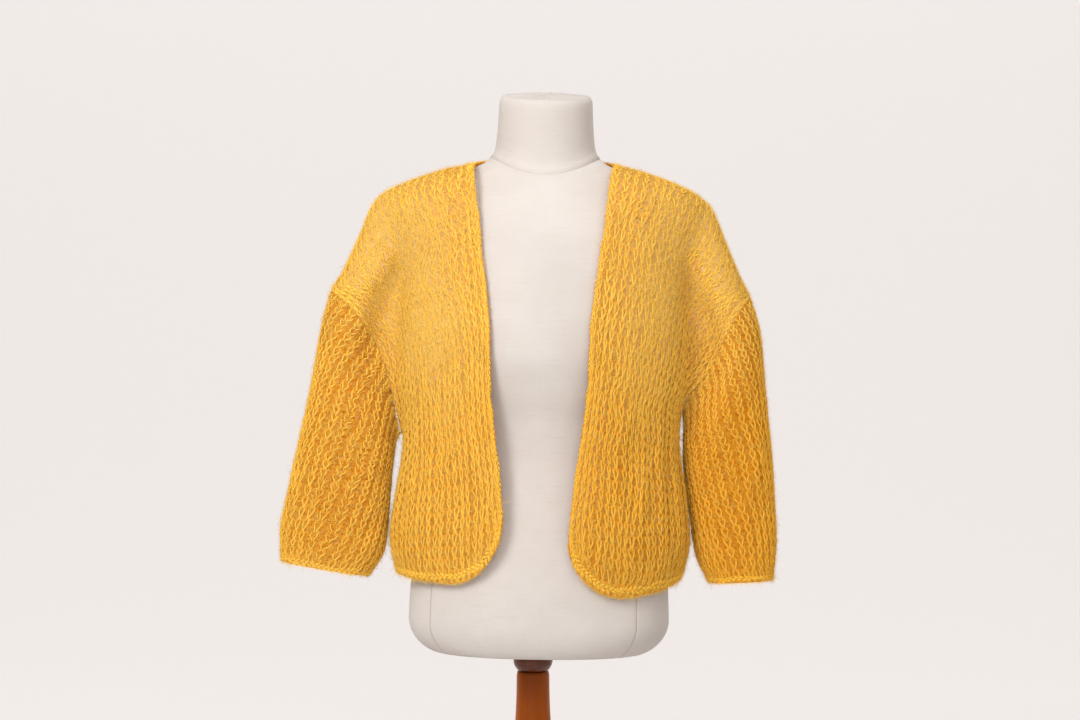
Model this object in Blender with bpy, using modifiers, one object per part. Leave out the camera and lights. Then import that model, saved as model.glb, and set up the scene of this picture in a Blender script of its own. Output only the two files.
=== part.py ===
# Open-front cropped cardigan of large-gauge mohair, worn on a limbless dress form.
# The form stands on a turned wooden column with a round base.
# World axes: X to the viewer's right, Y away from the viewer, Z up, in metres.
# The origin is on the floor, under the middle of the base.
# Tables are in millimetres. Their heights are counted from the underside of the torso.
# "left" and "right" are the wearer's: the wearer's left is at +X.

import math

import bpy
import numpy as np
from mathutils import Vector
from mathutils.bvhtree import BVHTree

MM = 0.001
SHARP_ANGLE = 45.0
NAME = "mohair_cardigan_on_dress_form"

# colours
MOHAIR = (0.83, 0.43, 0.04)
LINEN = (0.80, 0.74, 0.67)
AMBER_WOOD = (0.30, 0.11, 0.03)
DARK_WOOD = (0.18, 0.06, 0.02)

# stand and form
TORSO_BOTTOM = 780.0
FORM_OFFSET = 7.0
FORM_LEAN = math.radians(0.8)
TORSO_EDGE_ACROSS = 34.0
TORSO_EDGE_DEEP = 18.0
TORSO_EDGE_ROUND = 1.4
TORSO_EDGE_TURNS = (90, 65, 40, 18)
TORSO_SHOULDER = 550.0
TORSO_ROWS = 16
SHOULDER_ROWS = 13
SEAM_GAP = 0.3
NECK_HEIGHT = 80.0
NECK_TOP_TILT = 11.0
NECK_LEAN = 8.0
NECK_DEEPER = 0.04
KNOB_TOP_GAP = 0.4
COLUMN_FOOT_RADIUS = 38.0
TORSO_SIDES = 36
TURNED_SIDES = 28

# cardigan
WALL = 3.0
REST_GAP = 0.6
FRONT_COLUMNS = 16
BACK_HALF_COLUMNS = 16
BODY_ROWS = 22
ARMHOLE_ROWS = 12
SLEEVE_ROWS = 16
DROP_CORNER = 465.0
ARM_HALF_WIDTH = 50.0
VALLEY_SHARE = 0.4
VALLEY_WIDTH = 30.0
BLEND_POWER = 3.0
NECK_SEAM_HEIGHT = 632.0
NECK_RISE = 15.0
NECK_SHARE = 0.25
SAMPLES = 320
SETTLE_ROUNDS = 14
CELL_TESTS = 3
TRIM = 0.2
RELAX_ROUNDS = 5

FORM_COLUMNS = ("height", "half_width", "front", "back", "power", "front_drop", "back_rise")
FORM_ROWS = (
    (42, 169.0, 111, 113, 2.2, 0, 0),
    (80, 167.5, 111, 112, 2.2, 0, 0),
    (120, 161.0, 109, 107, 2.2, 0, 0),
    (160, 147.0, 105, 99, 2.2, 0, 0),
    (205, 128.0, 99, 88, 2.2, 0, 0),
    (250, 118.5, 96, 82, 2.2, 0, 0),
    (295, 121.5, 101, 83, 2.2, 0, 0),
    (340, 131.0, 114, 89, 2.2, 0, 0),
    (385, 142.0, 126, 97, 2.2, 0, 0),
    (420, 147.0, 128, 103, 2.2, 0, 0),
    (455, 153.0, 124, 108, 2.1, 0, 0),
    (485, 162.0, 118, 110, 2.0, 0, 0),
    (515, 173.0, 112, 111, 1.9, 0, 0),
    (545, 186.0, 106, 110, 1.8, 0, 0),
    (572, 196.5, 100, 107, 1.75, 2, 0),
    (584, 195.0, 98, 104, 1.75, 6, 1),
    (591, 190.0, 96, 102, 1.75, 9, 2),
    (597, 181.0, 94, 99, 1.75, 11, 3),
    (604, 163.0, 90, 94, 1.8, 15, 5),
    (610, 147.0, 87, 90, 1.8, 18, 7),
    (616, 129.0, 83, 86, 1.9, 20, 9),
    (622, 106.0, 78, 79, 1.95, 22, 11),
    (627, 91.0, 73, 73, 2.0, 23, 12),
    (633, 79.0, 68, 67, 2.0, 25, 14),
    (640, 71.5, 64, 62, 2.0, 26, 15),
)

# Neck block: its width at each share of its height.
NECK_COLUMNS = ("share", "width")
NECK_ROWS = (
    (0.0, 1.0),
    (0.07, 0.94),
    (0.2, 0.90),
    (0.55, 0.865),
    (0.9, 0.845),
    (0.97, 0.83),
    (1.0, 0.80),
)

# Turned pieces, from the top down. "drop" is counted from the top of the piece.
TURNED_COLUMNS = ("drop", "radius")
KNOB_ROWS = (
    (0, 22),
    (4, 25),
    (10, 26),
    (16, 25.2),
    (21.5, 22.5),
    (25, 19.5),
    (26, 17.5),
)
COLUMN_ROWS = (
    (0, 20.3),
    (3, 21.2),
    (30, 21.6),
    (60, 22.9),
    (75, 24.2),
    (100, 25.5),
    (112, 23),
    (120, 19.5),
    (128, 22.5),
    (136, 25.5),
    (146, 22.5),
    (154, 18.5),
    (220, 17.5),
    (420, 18.5),
    (560, 21.5),
    (600, 26),
    (616, 27.5),
    (628, 23),
    (640, 20),
    (652, 26),
    (668, 33),
    (690, 36),
)
BASE_ROWS = (
    (0, 60),
    (6, 150),
    (12, 190),
    (20, 200),
    (25, 200),
    (30, 195),
)

# Outer face of the worn cloth. "side" is its reach at the body and "depth" the arm's half depth.
BODY_COLUMNS = ("height", "side", "front", "back", "power", "depth")
BODY_ROWS_TABLE = (
    (76, 178, 118, 113, 2.15, 0),
    (98, 184, 121, 115, 2.15, 0),
    (117, 190, 124, 116, 2.15, 0),
    (145, 195, 126, 116, 2.15, 0),
    (200, 189, 127, 114, 2.15, 0),
    (250, 181, 128, 113, 2.15, 0),
    (280, 179, 130, 112, 2.15, 2),
    (312, 181, 131, 112, 2.15, 22),
    (350, 187, 132, 112, 2.15, 38),
    (385, 187, 133, 112, 2.15, 44),
    (420, 187, 133, 113, 2.15, 46),
    (455, 186, 129, 114, 2.1, 45),
    (485, 187, 123, 115, 2.05, 43),
    (510, 191, 118, 116, 2.0, 41),
    (540, 199, 112, 116, 1.95, 39),
    (564, 204, 107, 114, 1.9, 36),
    (585, 206, 100, 110, 1.85, 31),
    (600, 193, 95, 104, 1.85, 25),
    (613, 163, 88, 97, 1.85, 17),
    (624, 128, 81, 91, 1.9, 9),
    (632, 98, 75, 86, 2.0, 4),
    (650, 84, 72, 80, 2.0, 2),
)

# Outer outline from the neck over the drop shoulder and down the outside of the sleeve.
OUTLINE_COLUMNS = ("height", "right", "left")
OUTLINE_ROWS = (
    (278, 313, 298),
    (290, 312, 297),
    (333, 302, 292),
    (366, 296, 289),
    (410, 291, 285),
    (440, 285, 280),
    (465, 277, 269),
    (485, 264, 258),
    (510, 252, 247),
    (540, 239, 234),
    (564, 230, 225),
    (582, 221, 215),
    (595, 207, 200),
    (605, 187, 179),
    (613, 165, 158),
    (620, 147, 139),
    (626, 128, 122),
    (632, 95, 97),
    (650, 81, 82),
)

# Front opening edges.
EDGE_COLUMNS = ("height", "right", "left")
EDGE_ROWS = (
    (76, 47, 36),
    (165, 47, 36),
    (192, 48, 38.5),
    (215, 51, 41),
    (261, 56, 47),
    (307, 62, 53),
    (353, 66, 58),
    (402, 66, 59),
    (453, 70, 63),
    (484, 74, 67),
    (521, 79, 72),
    (547, 81, 76),
    (571, 85, 78),
    (594, 88, 81),
    (615, 91, 84),
    (632, 90, 88),
)

# Armhole seams from the underarm up to the drop corner.
ARMHOLE_COLUMNS = ("height", "reach")
ARMHOLE_TABLES = {
    "right": (
        (278.5, 182.5),
        (313, 190),
        (350, 199),
        (388, 212.5),
        (420, 230),
        (445, 251),
        (465, 277),
    ),
    "left": (
        (310, 181),
        (331, 187.5),
        (345, 199),
        (366, 216),
        (400, 230),
        (435, 247),
        (465, 269),
    ),
}

# Sleeve sections: the outer and inner end of each, and its half depth before and behind.
SLEEVE_COLUMNS = ("row", "outer", "outer_height", "inner", "inner_height", "front", "back")
SLEEVE_TABLES = {
    "right": (
        (0, 277, 465, 184, 278, 45, 45),
        (1, 287, 425, 190, 260, 48, 45),
        (2, 295, 372, 193.5, 234, 47, 43),
        (3, 304, 322, 195.5, 205, 44, 39),
        (4, 316, 266, 197, 176, 41, 36),
        (5, 328, 208, 198.5, 148, 38, 33),
        (6, 338, 152, 203, 124, 35, 31),
        (7, 336, 113, 222, 95, 31, 28),
    ),
    "left": (
        (0, 269, 465, 182, 309, 45, 45),
        (1, 283, 418, 184.5, 283, 48, 45),
        (2, 288, 366, 185, 255, 47, 43),
        (3, 294, 311, 187, 226, 44, 40),
        (4, 300, 257, 191, 196, 42, 37),
        (5, 304, 205, 196, 165, 40, 35),
        (6, 307.5, 150, 202.5, 128, 37, 33),
        (7, 303.5, 97, 220.5, 92, 32, 29),
    ),
}
SLEEVE_POWER = 2.3
SLEEVE_BLEND = 0.3
UNDERARM_STEP = 3.8
UNDERARM_START = 0.55

# Hem heights, and the size of the rounded front corner.
HEM = {
    "right": {"front": 93.5, "side": 101.0, "corner_height": 86.0, "corner_share": 0.36},
    "left": {"front": 76.0, "side": 101.0, "corner_height": 72.0, "corner_share": 0.40},
}
BACK_HEM = 96.0


def column(rows, names, name):
    place = names.index(name)
    return np.array([row[place] for row in rows], dtype=float)


def smooth(at, xs, ys):
    """Curve through the rows of a table: cubic pieces whose slopes never overshoot."""
    at = np.asarray(at, dtype=float)
    step = np.diff(xs)
    slope = np.diff(ys) / step
    product, total = slope[:-1] * slope[1:], slope[:-1] + slope[1:]
    inner = np.where(product > 0, 2 * product / np.where(total == 0, 1, total), 0.0)
    ends = np.concatenate(([slope[0]], inner, [slope[-1]]))
    place = np.clip(np.searchsorted(xs, at, side="right") - 1, 0, len(step) - 1)
    share = np.clip((at - xs[place]) / step[place], 0.0, 1.0)
    low, high = ys[place], ys[place + 1]
    start, finish = ends[place] * step[place], ends[place + 1] * step[place]
    return (low * (2 * share**3 - 3 * share**2 + 1) + start * (share**3 - 2 * share**2 + share)
            + high * (3 * share**2 - 2 * share**3) + finish * (share**3 - share**2))


def along(rows, names, name, at):
    return smooth(at, column(rows, names, names[0]), column(rows, names, name))


def soft_step(share):
    share = np.clip(share, 0.0, 1.0)
    return share * share * (3 - 2 * share)


def rounded(share, power):
    """Height of a unit superellipse over the share of its half width."""
    return np.clip(1 - np.abs(share)**power, 0.0, 1.0)**(1 / power)


def place_on_form(across, depth, height):
    """World metres from the distance beside, behind and along the form's leaning axis."""
    x = FORM_OFFSET + across * math.cos(FORM_LEAN) + height * math.sin(FORM_LEAN)
    z = TORSO_BOTTOM + height * math.cos(FORM_LEAN) - across * math.sin(FORM_LEAN)
    return np.stack([x, np.broadcast_to(depth, np.shape(x)), z], axis=-1) * MM


def add_object(name, vertices, faces, colour, roughness, collection):
    mesh = bpy.data.meshes.new(name)
    mesh.from_pydata([tuple(map(float, v)) for v in vertices], [], [tuple(map(int, f)) for f in faces])
    mesh.update()
    item = bpy.data.objects.new(name, mesh)
    collection.objects.link(item)
    finish(item, colour, roughness)
    return item


def finish(item, colour, roughness):
    """Give an object its own material, and smooth shading with crisp edges."""
    material = bpy.data.materials.new(item.name)
    material.use_nodes = True
    shader = material.node_tree.nodes["Principled BSDF"]
    shader.inputs["Base Color"].default_value = (*colour, 1.0)
    shader.inputs["Roughness"].default_value = roughness
    shader.inputs["Metallic"].default_value = 0.0
    material.diffuse_color = (*colour, 1.0)
    item.data.materials.clear()
    item.data.materials.append(material)
    item.data.shade_smooth()
    item.data.set_sharp_from_angle(angle=math.radians(SHARP_ANGLE))


def loft(rings):
    """Closed skin over rings that climb, in triangles, with a fan on the first and the last ring."""
    count, sides = len(rings), len(rings[0])
    middles = [rings[0].mean(axis=0), rings[-1].mean(axis=0)]
    vertices = np.concatenate([*rings, middles])
    faces = []
    for side in range(sides):
        after = (side + 1) % sides
        for low in range(0, (count - 1) * sides, sides):
            faces.append((low + side, low + after, low + sides + after))
            faces.append((low + side, low + sides + after, low + sides + side))
        top = (count - 1) * sides
        faces.append((after, side, count * sides))
        faces.append((top + side, top + after, count * sides + 1))
    return vertices, faces


def form_section(angle, height):
    """Section of the torso at a height: angle 0 is the front, and +90 degrees the side at +X."""
    values = {name: along(FORM_ROWS, FORM_COLUMNS, name, height) for name in FORM_COLUMNS[1:]}
    sine, cosine = np.sin(angle), np.cos(angle)
    across = values["half_width"] * np.sign(sine) * np.abs(sine)**(2 / values["power"])
    reach = np.where(cosine > 0, values["front"], values["back"])
    depth = -reach * np.sign(cosine) * np.abs(cosine)**(2 / values["power"])
    tilt = np.where(cosine > 0, -values["front_drop"], values["back_rise"]) * cosine**2
    return across, depth, height + tilt


def make_torso(collection):
    """Body of the form: a rounded lower edge, then sections up to the neck seam."""
    angles = np.linspace(0, 2 * math.pi, TORSO_SIDES, endpoint=False)
    low, top = FORM_ROWS[0][0], FORM_ROWS[-1][0]
    half_width, reach = FORM_ROWS[0][1], FORM_ROWS[0][3]
    heights = np.concatenate([np.linspace(low, TORSO_SHOULDER, TORSO_ROWS, endpoint=False),
                              np.linspace(TORSO_SHOULDER, top, SHOULDER_ROWS)])
    rings = []
    for turn in np.radians(TORSO_EDGE_TURNS):
        across, depth, _ = form_section(angles, low + 0 * angles)
        inset = 1 - math.cos(turn)**TORSO_EDGE_ROUND
        lift = low * (1 - math.sin(turn))
        rings.append(place_on_form(across * (1 - inset * TORSO_EDGE_ACROSS / half_width),
                                   depth * (1 - inset * TORSO_EDGE_DEEP / reach), lift + 0 * angles))
    for height in heights:
        across, depth, tall = form_section(angles, height + 0 * angles)
        rings.append(place_on_form(across, depth, tall))
    return add_object("form_torso", *loft(rings), LINEN, 0.85, collection)


def make_neck(collection):
    """Neck block: it starts on the torso's top ring, a seam's gap above, and tapers a little."""
    angles = np.linspace(0, 2 * math.pi, TORSO_SIDES, endpoint=False)
    top = FORM_ROWS[-1][0]
    across, depth, tall = form_section(angles, top + 0 * angles)
    flat_top = top + NECK_HEIGHT - NECK_TOP_TILT * np.cos(angles)
    rings = []
    for share, width in NECK_ROWS:
        deep = width + NECK_DEEPER * soft_step(share)
        height = tall + SEAM_GAP + (flat_top - tall - SEAM_GAP) * share
        rings.append(place_on_form(across * width, depth * deep - NECK_LEAN * share, height))
    return add_object("form_neck", *loft(rings), LINEN, 0.85, collection)


def turned(name, top, rows, colour, roughness, collection, foot=None):
    """Solid turned about the column's axis from its rows, closed flat on the axis at both ends."""
    profile = [(0, top)] + [(radius, top - drop) for drop, radius in rows]
    profile += [foot] if foot else []
    profile.append((0, profile[-1][1]))
    mesh = bpy.data.meshes.new(name)
    points = [(radius * MM, 0.0, height * MM) for radius, height in profile]
    mesh.from_pydata(points, [(i, i + 1) for i in range(len(points) - 1)], [])
    item = bpy.data.objects.new(name, mesh)
    collection.objects.link(item)
    screw = item.modifiers.new("turn", "SCREW")
    screw.axis = "Z"
    screw.steps = TURNED_SIDES
    screw.render_steps = TURNED_SIDES
    screw.use_merge_vertices = True
    screw.merge_threshold = 0.0001
    finish(item, colour, roughness)


def make_stand(collection):
    """Knob under the torso, turned column and round base, one above the other."""
    knob_top = TORSO_BOTTOM - KNOB_TOP_GAP
    column_top = knob_top - KNOB_ROWS[-1][0] - SEAM_GAP
    base_top = BASE_ROWS[-1][0]
    turned("stand_knob", knob_top, KNOB_ROWS, DARK_WOOD, 0.3, collection)
    turned("stand_column", column_top, COLUMN_ROWS, AMBER_WOOD, 0.4, collection,
           foot=(COLUMN_FOOT_RADIUS, base_top + SEAM_GAP))
    turned("stand_base", base_top, BASE_ROWS, AMBER_WOOD, 0.4, collection)


def cloth_depth(across, height, side, face):
    """Depth of the worn cloth's outer face beside the axis: the body and the arm, softly joined."""
    reach = along(BODY_ROWS_TABLE, BODY_COLUMNS, face, height)
    width = along(BODY_ROWS_TABLE, BODY_COLUMNS, "side", height)
    power = along(BODY_ROWS_TABLE, BODY_COLUMNS, "power", height)
    body = reach * rounded(np.clip(across / width, 0, 1), power)
    arm_depth = along(BODY_ROWS_TABLE, BODY_COLUMNS, "depth", height)
    outer = along(OUTLINE_ROWS, OUTLINE_COLUMNS, side, height)
    middle = outer - ARM_HALF_WIDTH
    lobe = rounded(np.clip((across - middle) / (outer - middle), 0, 1), 2.0)
    valley = VALLEY_SHARE + (1 - VALLEY_SHARE) * soft_step((across - middle + VALLEY_WIDTH) / VALLEY_WIDTH)
    arm = arm_depth * lobe * valley
    return (body**BLEND_POWER + arm**BLEND_POWER)**(1 / BLEND_POWER)


def cloth_ring(height, side, face):
    """Half ring of the cloth at each height, from the front edge or centre back to its outer end."""
    height = np.asarray(height, dtype=float)[:, None]
    underarm = ARMHOLE_TABLES[side][0][0]
    start = along(EDGE_ROWS, EDGE_COLUMNS, side, height) if face == "front" else np.zeros_like(height)
    outline = along(OUTLINE_ROWS, OUTLINE_COLUMNS, side, height)
    body = along(BODY_ROWS_TABLE, BODY_COLUMNS, "side", height)
    armhole = along(ARMHOLE_TABLES[side], ARMHOLE_COLUMNS, "reach", height)
    end = np.where(height >= DROP_CORNER, outline, armhole)
    end = np.where(height <= underarm, body, end)
    start = np.minimum(start, end - 0.01)
    share = np.sin(np.linspace(0, math.pi / 2, SAMPLES))[None, :]
    across = start + (end - start) * share
    depth = cloth_depth(across, height + 0 * across, side, face)
    on_seam = (height > DROP_CORNER) | (height < underarm)
    depth[:, -1:] = np.where(on_seam, 0.0, depth[:, -1:])
    return across, depth


def seam_share(height, side, face):
    """Share of the panel's width that a ring reaches before it meets the shoulder seam."""
    levels = np.linspace(DROP_CORNER, NECK_SEAM_HEIGHT, SAMPLES)
    reach = along(OUTLINE_ROWS, OUTLINE_COLUMNS, side, levels)
    length = np.concatenate(([0], np.cumsum(np.hypot(np.diff(levels), np.diff(reach)))))
    rest = 1 - length / length[-1]
    share = np.interp(height, levels, rest)
    if face == "back":
        share = NECK_SHARE + (1 - NECK_SHARE) * share
    return share


def hem_height(share, side, face):
    if face == "back":
        return BACK_HEM + (HEM[side]["side"] - BACK_HEM) * share**2
    hem = HEM[side]
    base = hem["front"] + (hem["side"] - hem["front"]) * share**2
    turn = np.clip((hem["corner_share"] - share) / hem["corner_share"], 0, 1)
    return base + hem["corner_height"] * (1 - math.sqrt(1 - turn**2))


def top_height(share, side, face):
    levels = np.linspace(DROP_CORNER, NECK_SEAM_HEIGHT, SAMPLES)
    shares = seam_share(levels, side, face)
    if face == "back" and share < NECK_SHARE:
        return NECK_SEAM_HEIGHT + NECK_RISE * (1 - (share / NECK_SHARE)**2)
    return float(np.interp(-share, -shares, levels))


def wale(share, side, face):
    """One column of knitting from its top to the hem, as points with an even step."""
    top, low = top_height(share, side, face), hem_height(share, side, face)
    steps = np.linspace(0, 1, SAMPLES // 2)**2
    height = top + (low - top) * steps
    across, depth = cloth_ring(height, side, face)
    reach = np.maximum(seam_share(height, side, face), 1e-6)
    part = np.clip(share / reach, 0, 1)
    part[0] = part[0] if (face == "back" and share < NECK_SHARE) else 1.0
    pace = np.hypot(np.diff(across, axis=1), np.diff(depth, axis=1))
    length = np.concatenate([np.zeros((len(height), 1)), np.cumsum(pace, axis=1)], axis=1)
    path = np.zeros((len(height), 3))
    for row, run in enumerate(length):
        path[row] = (np.interp(part[row] * run[-1], run, across[row]),
                     np.interp(part[row] * run[-1], run, depth[row]), height[row])
    run = np.concatenate(([0], np.cumsum(np.linalg.norm(np.diff(path, axis=0), axis=1))))
    rows = np.linspace(0, 1, BODY_ROWS + 1)
    underarm = float(np.interp(-ARMHOLE_TABLES[side][0][0], -height, run)) / run[-1]
    seam_rows = np.interp(rows, (0, ARMHOLE_ROWS / BODY_ROWS, 1), (0, underarm, 1))
    rows = rows + (seam_rows - rows) * soft_step((share - 0.5) / 0.5)
    return np.stack([np.interp(rows * run[-1], run, path[:, k]) for k in range(3)], axis=-1)


def half_panel(side, face, columns):
    """Outer face of a front, or of half the back, as a grid of points: [column, row, xyz]."""
    grid = np.stack([wale(share, side, face) for share in np.linspace(0, 1, columns + 1)])
    hand = -1.0 if side == "right" else 1.0
    forward = -1.0 if face == "front" else 1.0
    return place_on_form(hand * grid[..., 0], forward * grid[..., 1], grid[..., 2])


def grid_normals(grid, closed=False):
    """Unit normals of a grid, from the differences to the points beside each."""
    if closed:
        first = np.roll(grid, -1, axis=0) - np.roll(grid, 1, axis=0)
    else:
        first = np.gradient(grid, axis=0)
    second = np.gradient(grid, axis=1)
    normal = np.cross(first, second)
    size = np.linalg.norm(normal, axis=-1, keepdims=True)
    return normal / np.maximum(size, 1e-12)


def relax(grid):
    """Even out the inside of a grid, and leave its edges where they are."""
    grid = grid.copy()
    for _ in range(RELAX_ROUNDS):
        beside = grid[:-2, 1:-1] + grid[2:, 1:-1] + grid[1:-1, :-2] + grid[1:-1, 2:]
        grid[1:-1, 1:-1] += (beside / 4 - grid[1:-1, 1:-1]) * 0.5
    return grid


def middle_of(grid, hand, seam):
    """Middle surface of a wall whose outer face is the grid."""
    return grid - seam_normals(grid_normals(grid) * hand, seam) * (WALL / 2 * MM)


def settle(middle, hand, tree, seam):
    """Lift a wall's middle surface wherever its inner face would touch the form."""
    steps = np.linspace(0, 1, CELL_TESTS + 1)
    shares = [(a, b) for a in steps for b in steps]
    for _ in range(SETTLE_ROUNDS):
        normals = seam_normals(grid_normals(middle) * hand, seam)
        inner = middle - normals * (WALL / 2 * MM)
        low, side, above, far = inner[:-1, :-1], inner[1:, :-1], inner[:-1, 1:], inner[1:, 1:]
        lift = np.zeros_like(middle)
        need = np.zeros(middle.shape[:2])
        for a, b in shares:
            if a > b:
                points = low + (side - low) * a + (far - side) * b
            else:
                points = low + (above - low) * b + (far - above) * a
            for place in np.ndindex(points.shape[:2]):
                point = Vector(points[place])
                spot, away, _, _ = tree.find_nearest(point)
                short = REST_GAP * MM - (point - spot).dot(away)
                if short <= 0:
                    continue
                for corner in ((0, 0), (1, 0), (0, 1), (1, 1)):
                    vertex = (place[0] + corner[0], place[1] + corner[1])
                    if short > need[vertex]:
                        need[vertex] = short
                        lift[vertex] = np.array(away) * short
        if need.max() == 0:
            break
        lift[seam, 1] = 0
        middle = middle + lift
    return middle


def seam_normals(normals, seam):
    """On the shoulder and side seams, which lie in one upright plane, the wall stands in that plane."""
    normals = normals.copy()
    normals[seam, 1] = 0
    return normals / np.linalg.norm(normals, axis=-1, keepdims=True)


def seam_mask(columns, face):
    """Points of a panel on the shoulder seam or, below the underarm, on the side seam."""
    mask = np.zeros((columns + 1, BODY_ROWS + 1), dtype=bool)
    shares = np.linspace(0, 1, columns + 1)
    mask[:, 0] = shares >= (NECK_SHARE if face == "back" else 0)
    mask[-1, ARMHOLE_ROWS:] = True
    return mask


def wall_object(name, middle, normals, collection, closed=False):
    """Closed wall of even thickness round a grid of middle points."""
    outer = middle + normals * (WALL / 2 * MM)
    inner = middle - normals * (WALL / 2 * MM)
    columns, rows = middle.shape[0], middle.shape[1]
    count = columns * rows
    vertices = np.concatenate([outer.reshape(-1, 3), inner.reshape(-1, 3)])
    faces = []
    spans = columns if closed else columns - 1

    def at(column_index, row_index, inside):
        return inside * count + (column_index % columns) * rows + row_index

    def quad(a, b, c, d):
        faces.extend(((a, b, c), (a, c, d)))

    for c in range(spans):
        for r in range(rows - 1):
            quad(at(c, r, 0), at(c + 1, r, 0), at(c + 1, r + 1, 0), at(c, r + 1, 0))
            quad(at(c + 1, r + 1, 1), at(c + 1, r, 1), at(c, r, 1), at(c, r + 1, 1))
        quad(at(c, 0, 1), at(c + 1, 0, 1), at(c + 1, 0, 0), at(c, 0, 0))
        quad(at(c, rows - 1, 0), at(c + 1, rows - 1, 0), at(c + 1, rows - 1, 1), at(c, rows - 1, 1))
    if not closed:
        for r in range(rows - 1):
            quad(at(0, r, 1), at(0, r, 0), at(0, r + 1, 0), at(0, r + 1, 1))
            quad(at(columns - 1, r, 0), at(columns - 1, r, 1),
                 at(columns - 1, r + 1, 1), at(columns - 1, r + 1, 0))
    return add_object(name, vertices, faces, MOHAIR, 0.95, collection)


def trim(grid, columns=(), rows=()):
    """Pull the named edges of a grid inwards by half a seam's gap."""
    grid = grid.copy()

    def pull(edge, inner):
        way = inner - edge
        return edge + way / np.linalg.norm(way, axis=-1, keepdims=True) * (TRIM * MM)

    for edge in columns:
        grid[edge] = pull(grid[edge], grid[1 if edge == 0 else -2])
    for edge in rows:
        grid[:, edge] = pull(grid[:, edge], grid[:, 1 if edge == 0 else -2])
    return grid


def sleeve_section(side, share):
    """Middle surface of a plain section, from the sleeve's head (share 0) to the cuff (share 1)."""
    rows = SLEEVE_TABLES[side]
    row = share * rows[-1][0]
    value = {name: float(along(rows, SLEEVE_COLUMNS, name, row)) for name in SLEEVE_COLUMNS[1:]}
    turns = np.linspace(0, 2 * math.pi, 2 * ARMHOLE_ROWS, endpoint=False)
    swing = np.sign(np.cos(turns)) * np.abs(np.cos(turns))**(2 / SLEEVE_POWER)
    span = np.array([value["outer"] - value["inner"], value["outer_height"] - value["inner_height"]])
    span = span * (1 - WALL / np.linalg.norm(span)) / 2
    across = (value["outer"] + value["inner"]) / 2 + span[0] * swing
    height = (value["outer_height"] + value["inner_height"]) / 2 + span[1] * swing
    reach = np.where(np.sin(turns) > 0, WALL / 2 - value["front"], value["back"] - WALL / 2)
    depth = reach * np.abs(np.sin(turns))**(2 / SLEEVE_POWER)
    hand = -1.0 if side == "right" else 1.0
    return place_on_form(hand * across, depth, height)


def sleeve_grid(side, loop):
    """Middle surface of a sleeve from its armhole loop down to the cuff, [around, row, xyz]."""
    head = sleeve_section(side, 0.0)
    rings = [loop]
    for row in range(1, SLEEVE_ROWS + 1):
        share = row / SLEEVE_ROWS
        plain = sleeve_section(side, share)
        mix = soft_step(share / SLEEVE_BLEND)
        rings.append((loop + plain - head) * (1 - mix) + plain * mix)
    return np.stack(rings, axis=1)


def join_sleeve(side, front, front_normals, back, back_normals):
    """Sleeve on the armhole of two panels, whose last columns take the normals they share with it.

    From the drop corner down the edges meet end to end. Towards the underarm the sleeve's
    edge steps out beside the panels' edge, so that both walls can hang straight down.
    """
    hand = -1 if side == "right" else 1
    last = ARMHOLE_ROWS
    loop = np.concatenate([front[:last + 1], back[last - 1:0:-1]])
    loop[0] = (front[0] + back[0]) / 2
    loop[last] = (front[last] + back[last]) / 2
    shares = np.concatenate([np.arange(last + 1), np.arange(last - 1, 0, -1)]) / last
    beside = soft_step((shares - UNDERARM_START) / (1 - UNDERARM_START))
    loop[:, 0] += hand * UNDERARM_STEP * MM * beside
    grid = sleeve_grid(side, loop)
    normals = grid_normals(grid, closed=True) * hand
    panel = np.concatenate([front_normals[:last + 1], back_normals[last - 1:0:-1]])
    weight = (1 - beside)[:, None]
    shared = panel + normals[:, 0]
    shared = shared / np.maximum(np.linalg.norm(shared, axis=-1, keepdims=True), 0.2)
    panel = panel * (1 - weight) + shared * weight
    panel = panel / np.linalg.norm(panel, axis=-1, keepdims=True)
    own = normals[:, 0] * (1 - weight) + shared * weight
    normals[:, 0] = own / np.linalg.norm(own, axis=-1, keepdims=True)
    normals[0, 0, 1] = 0
    front_normals[1:last] = panel[1:last]
    back_normals[1:last] = panel[:last:-1]
    front_normals[0] = normals[0, 0]
    back_normals[0] = normals[0, 0]
    return trim(grid, rows=(0,)), normals


def main():
    for item in list(bpy.data.objects):
        bpy.data.objects.remove(item, do_unlink=True)
    collection = bpy.data.collections.new(NAME)
    bpy.context.scene.collection.children.link(collection)
    torso = make_torso(collection)
    make_neck(collection)
    make_stand(collection)
    bpy.context.view_layer.update()
    tree = BVHTree.FromObject(torso, bpy.context.evaluated_depsgraph_get())
    halves = [half_panel(side, "back", BACK_HALF_COLUMNS) for side in ("right", "left")]
    seam = seam_mask(BACK_HALF_COLUMNS, "back")
    back_seam = np.concatenate([seam[::-1], seam[1:]])
    back = middle_of(relax(np.concatenate([halves[0][::-1], halves[1][1:]])), 1, back_seam)
    back = settle(back, 1, tree, back_seam)
    back_normals = seam_normals(grid_normals(back), back_seam)
    seam = seam_mask(FRONT_COLUMNS, "front")
    for side, hand, edge in (("right", 1, 0), ("left", -1, -1)):
        front = middle_of(relax(half_panel(side, "front", FRONT_COLUMNS)), hand, seam)
        front = settle(front, hand, tree, seam)
        normals = seam_normals(grid_normals(front) * hand, seam)
        sleeve, sleeve_normals = join_sleeve(side, front[-1], normals[-1], back[edge], back_normals[edge])
        front = trim(front, columns=(-1,), rows=(0,))
        wall_object("front_" + side, front[::hand], normals[::hand], collection)
        wall_object("sleeve_" + side, sleeve[::-hand], sleeve_normals[::-hand], collection, closed=True)
    wall_object("back", trim(back, columns=(0, -1), rows=(0,)), back_normals, collection)


main()
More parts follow.
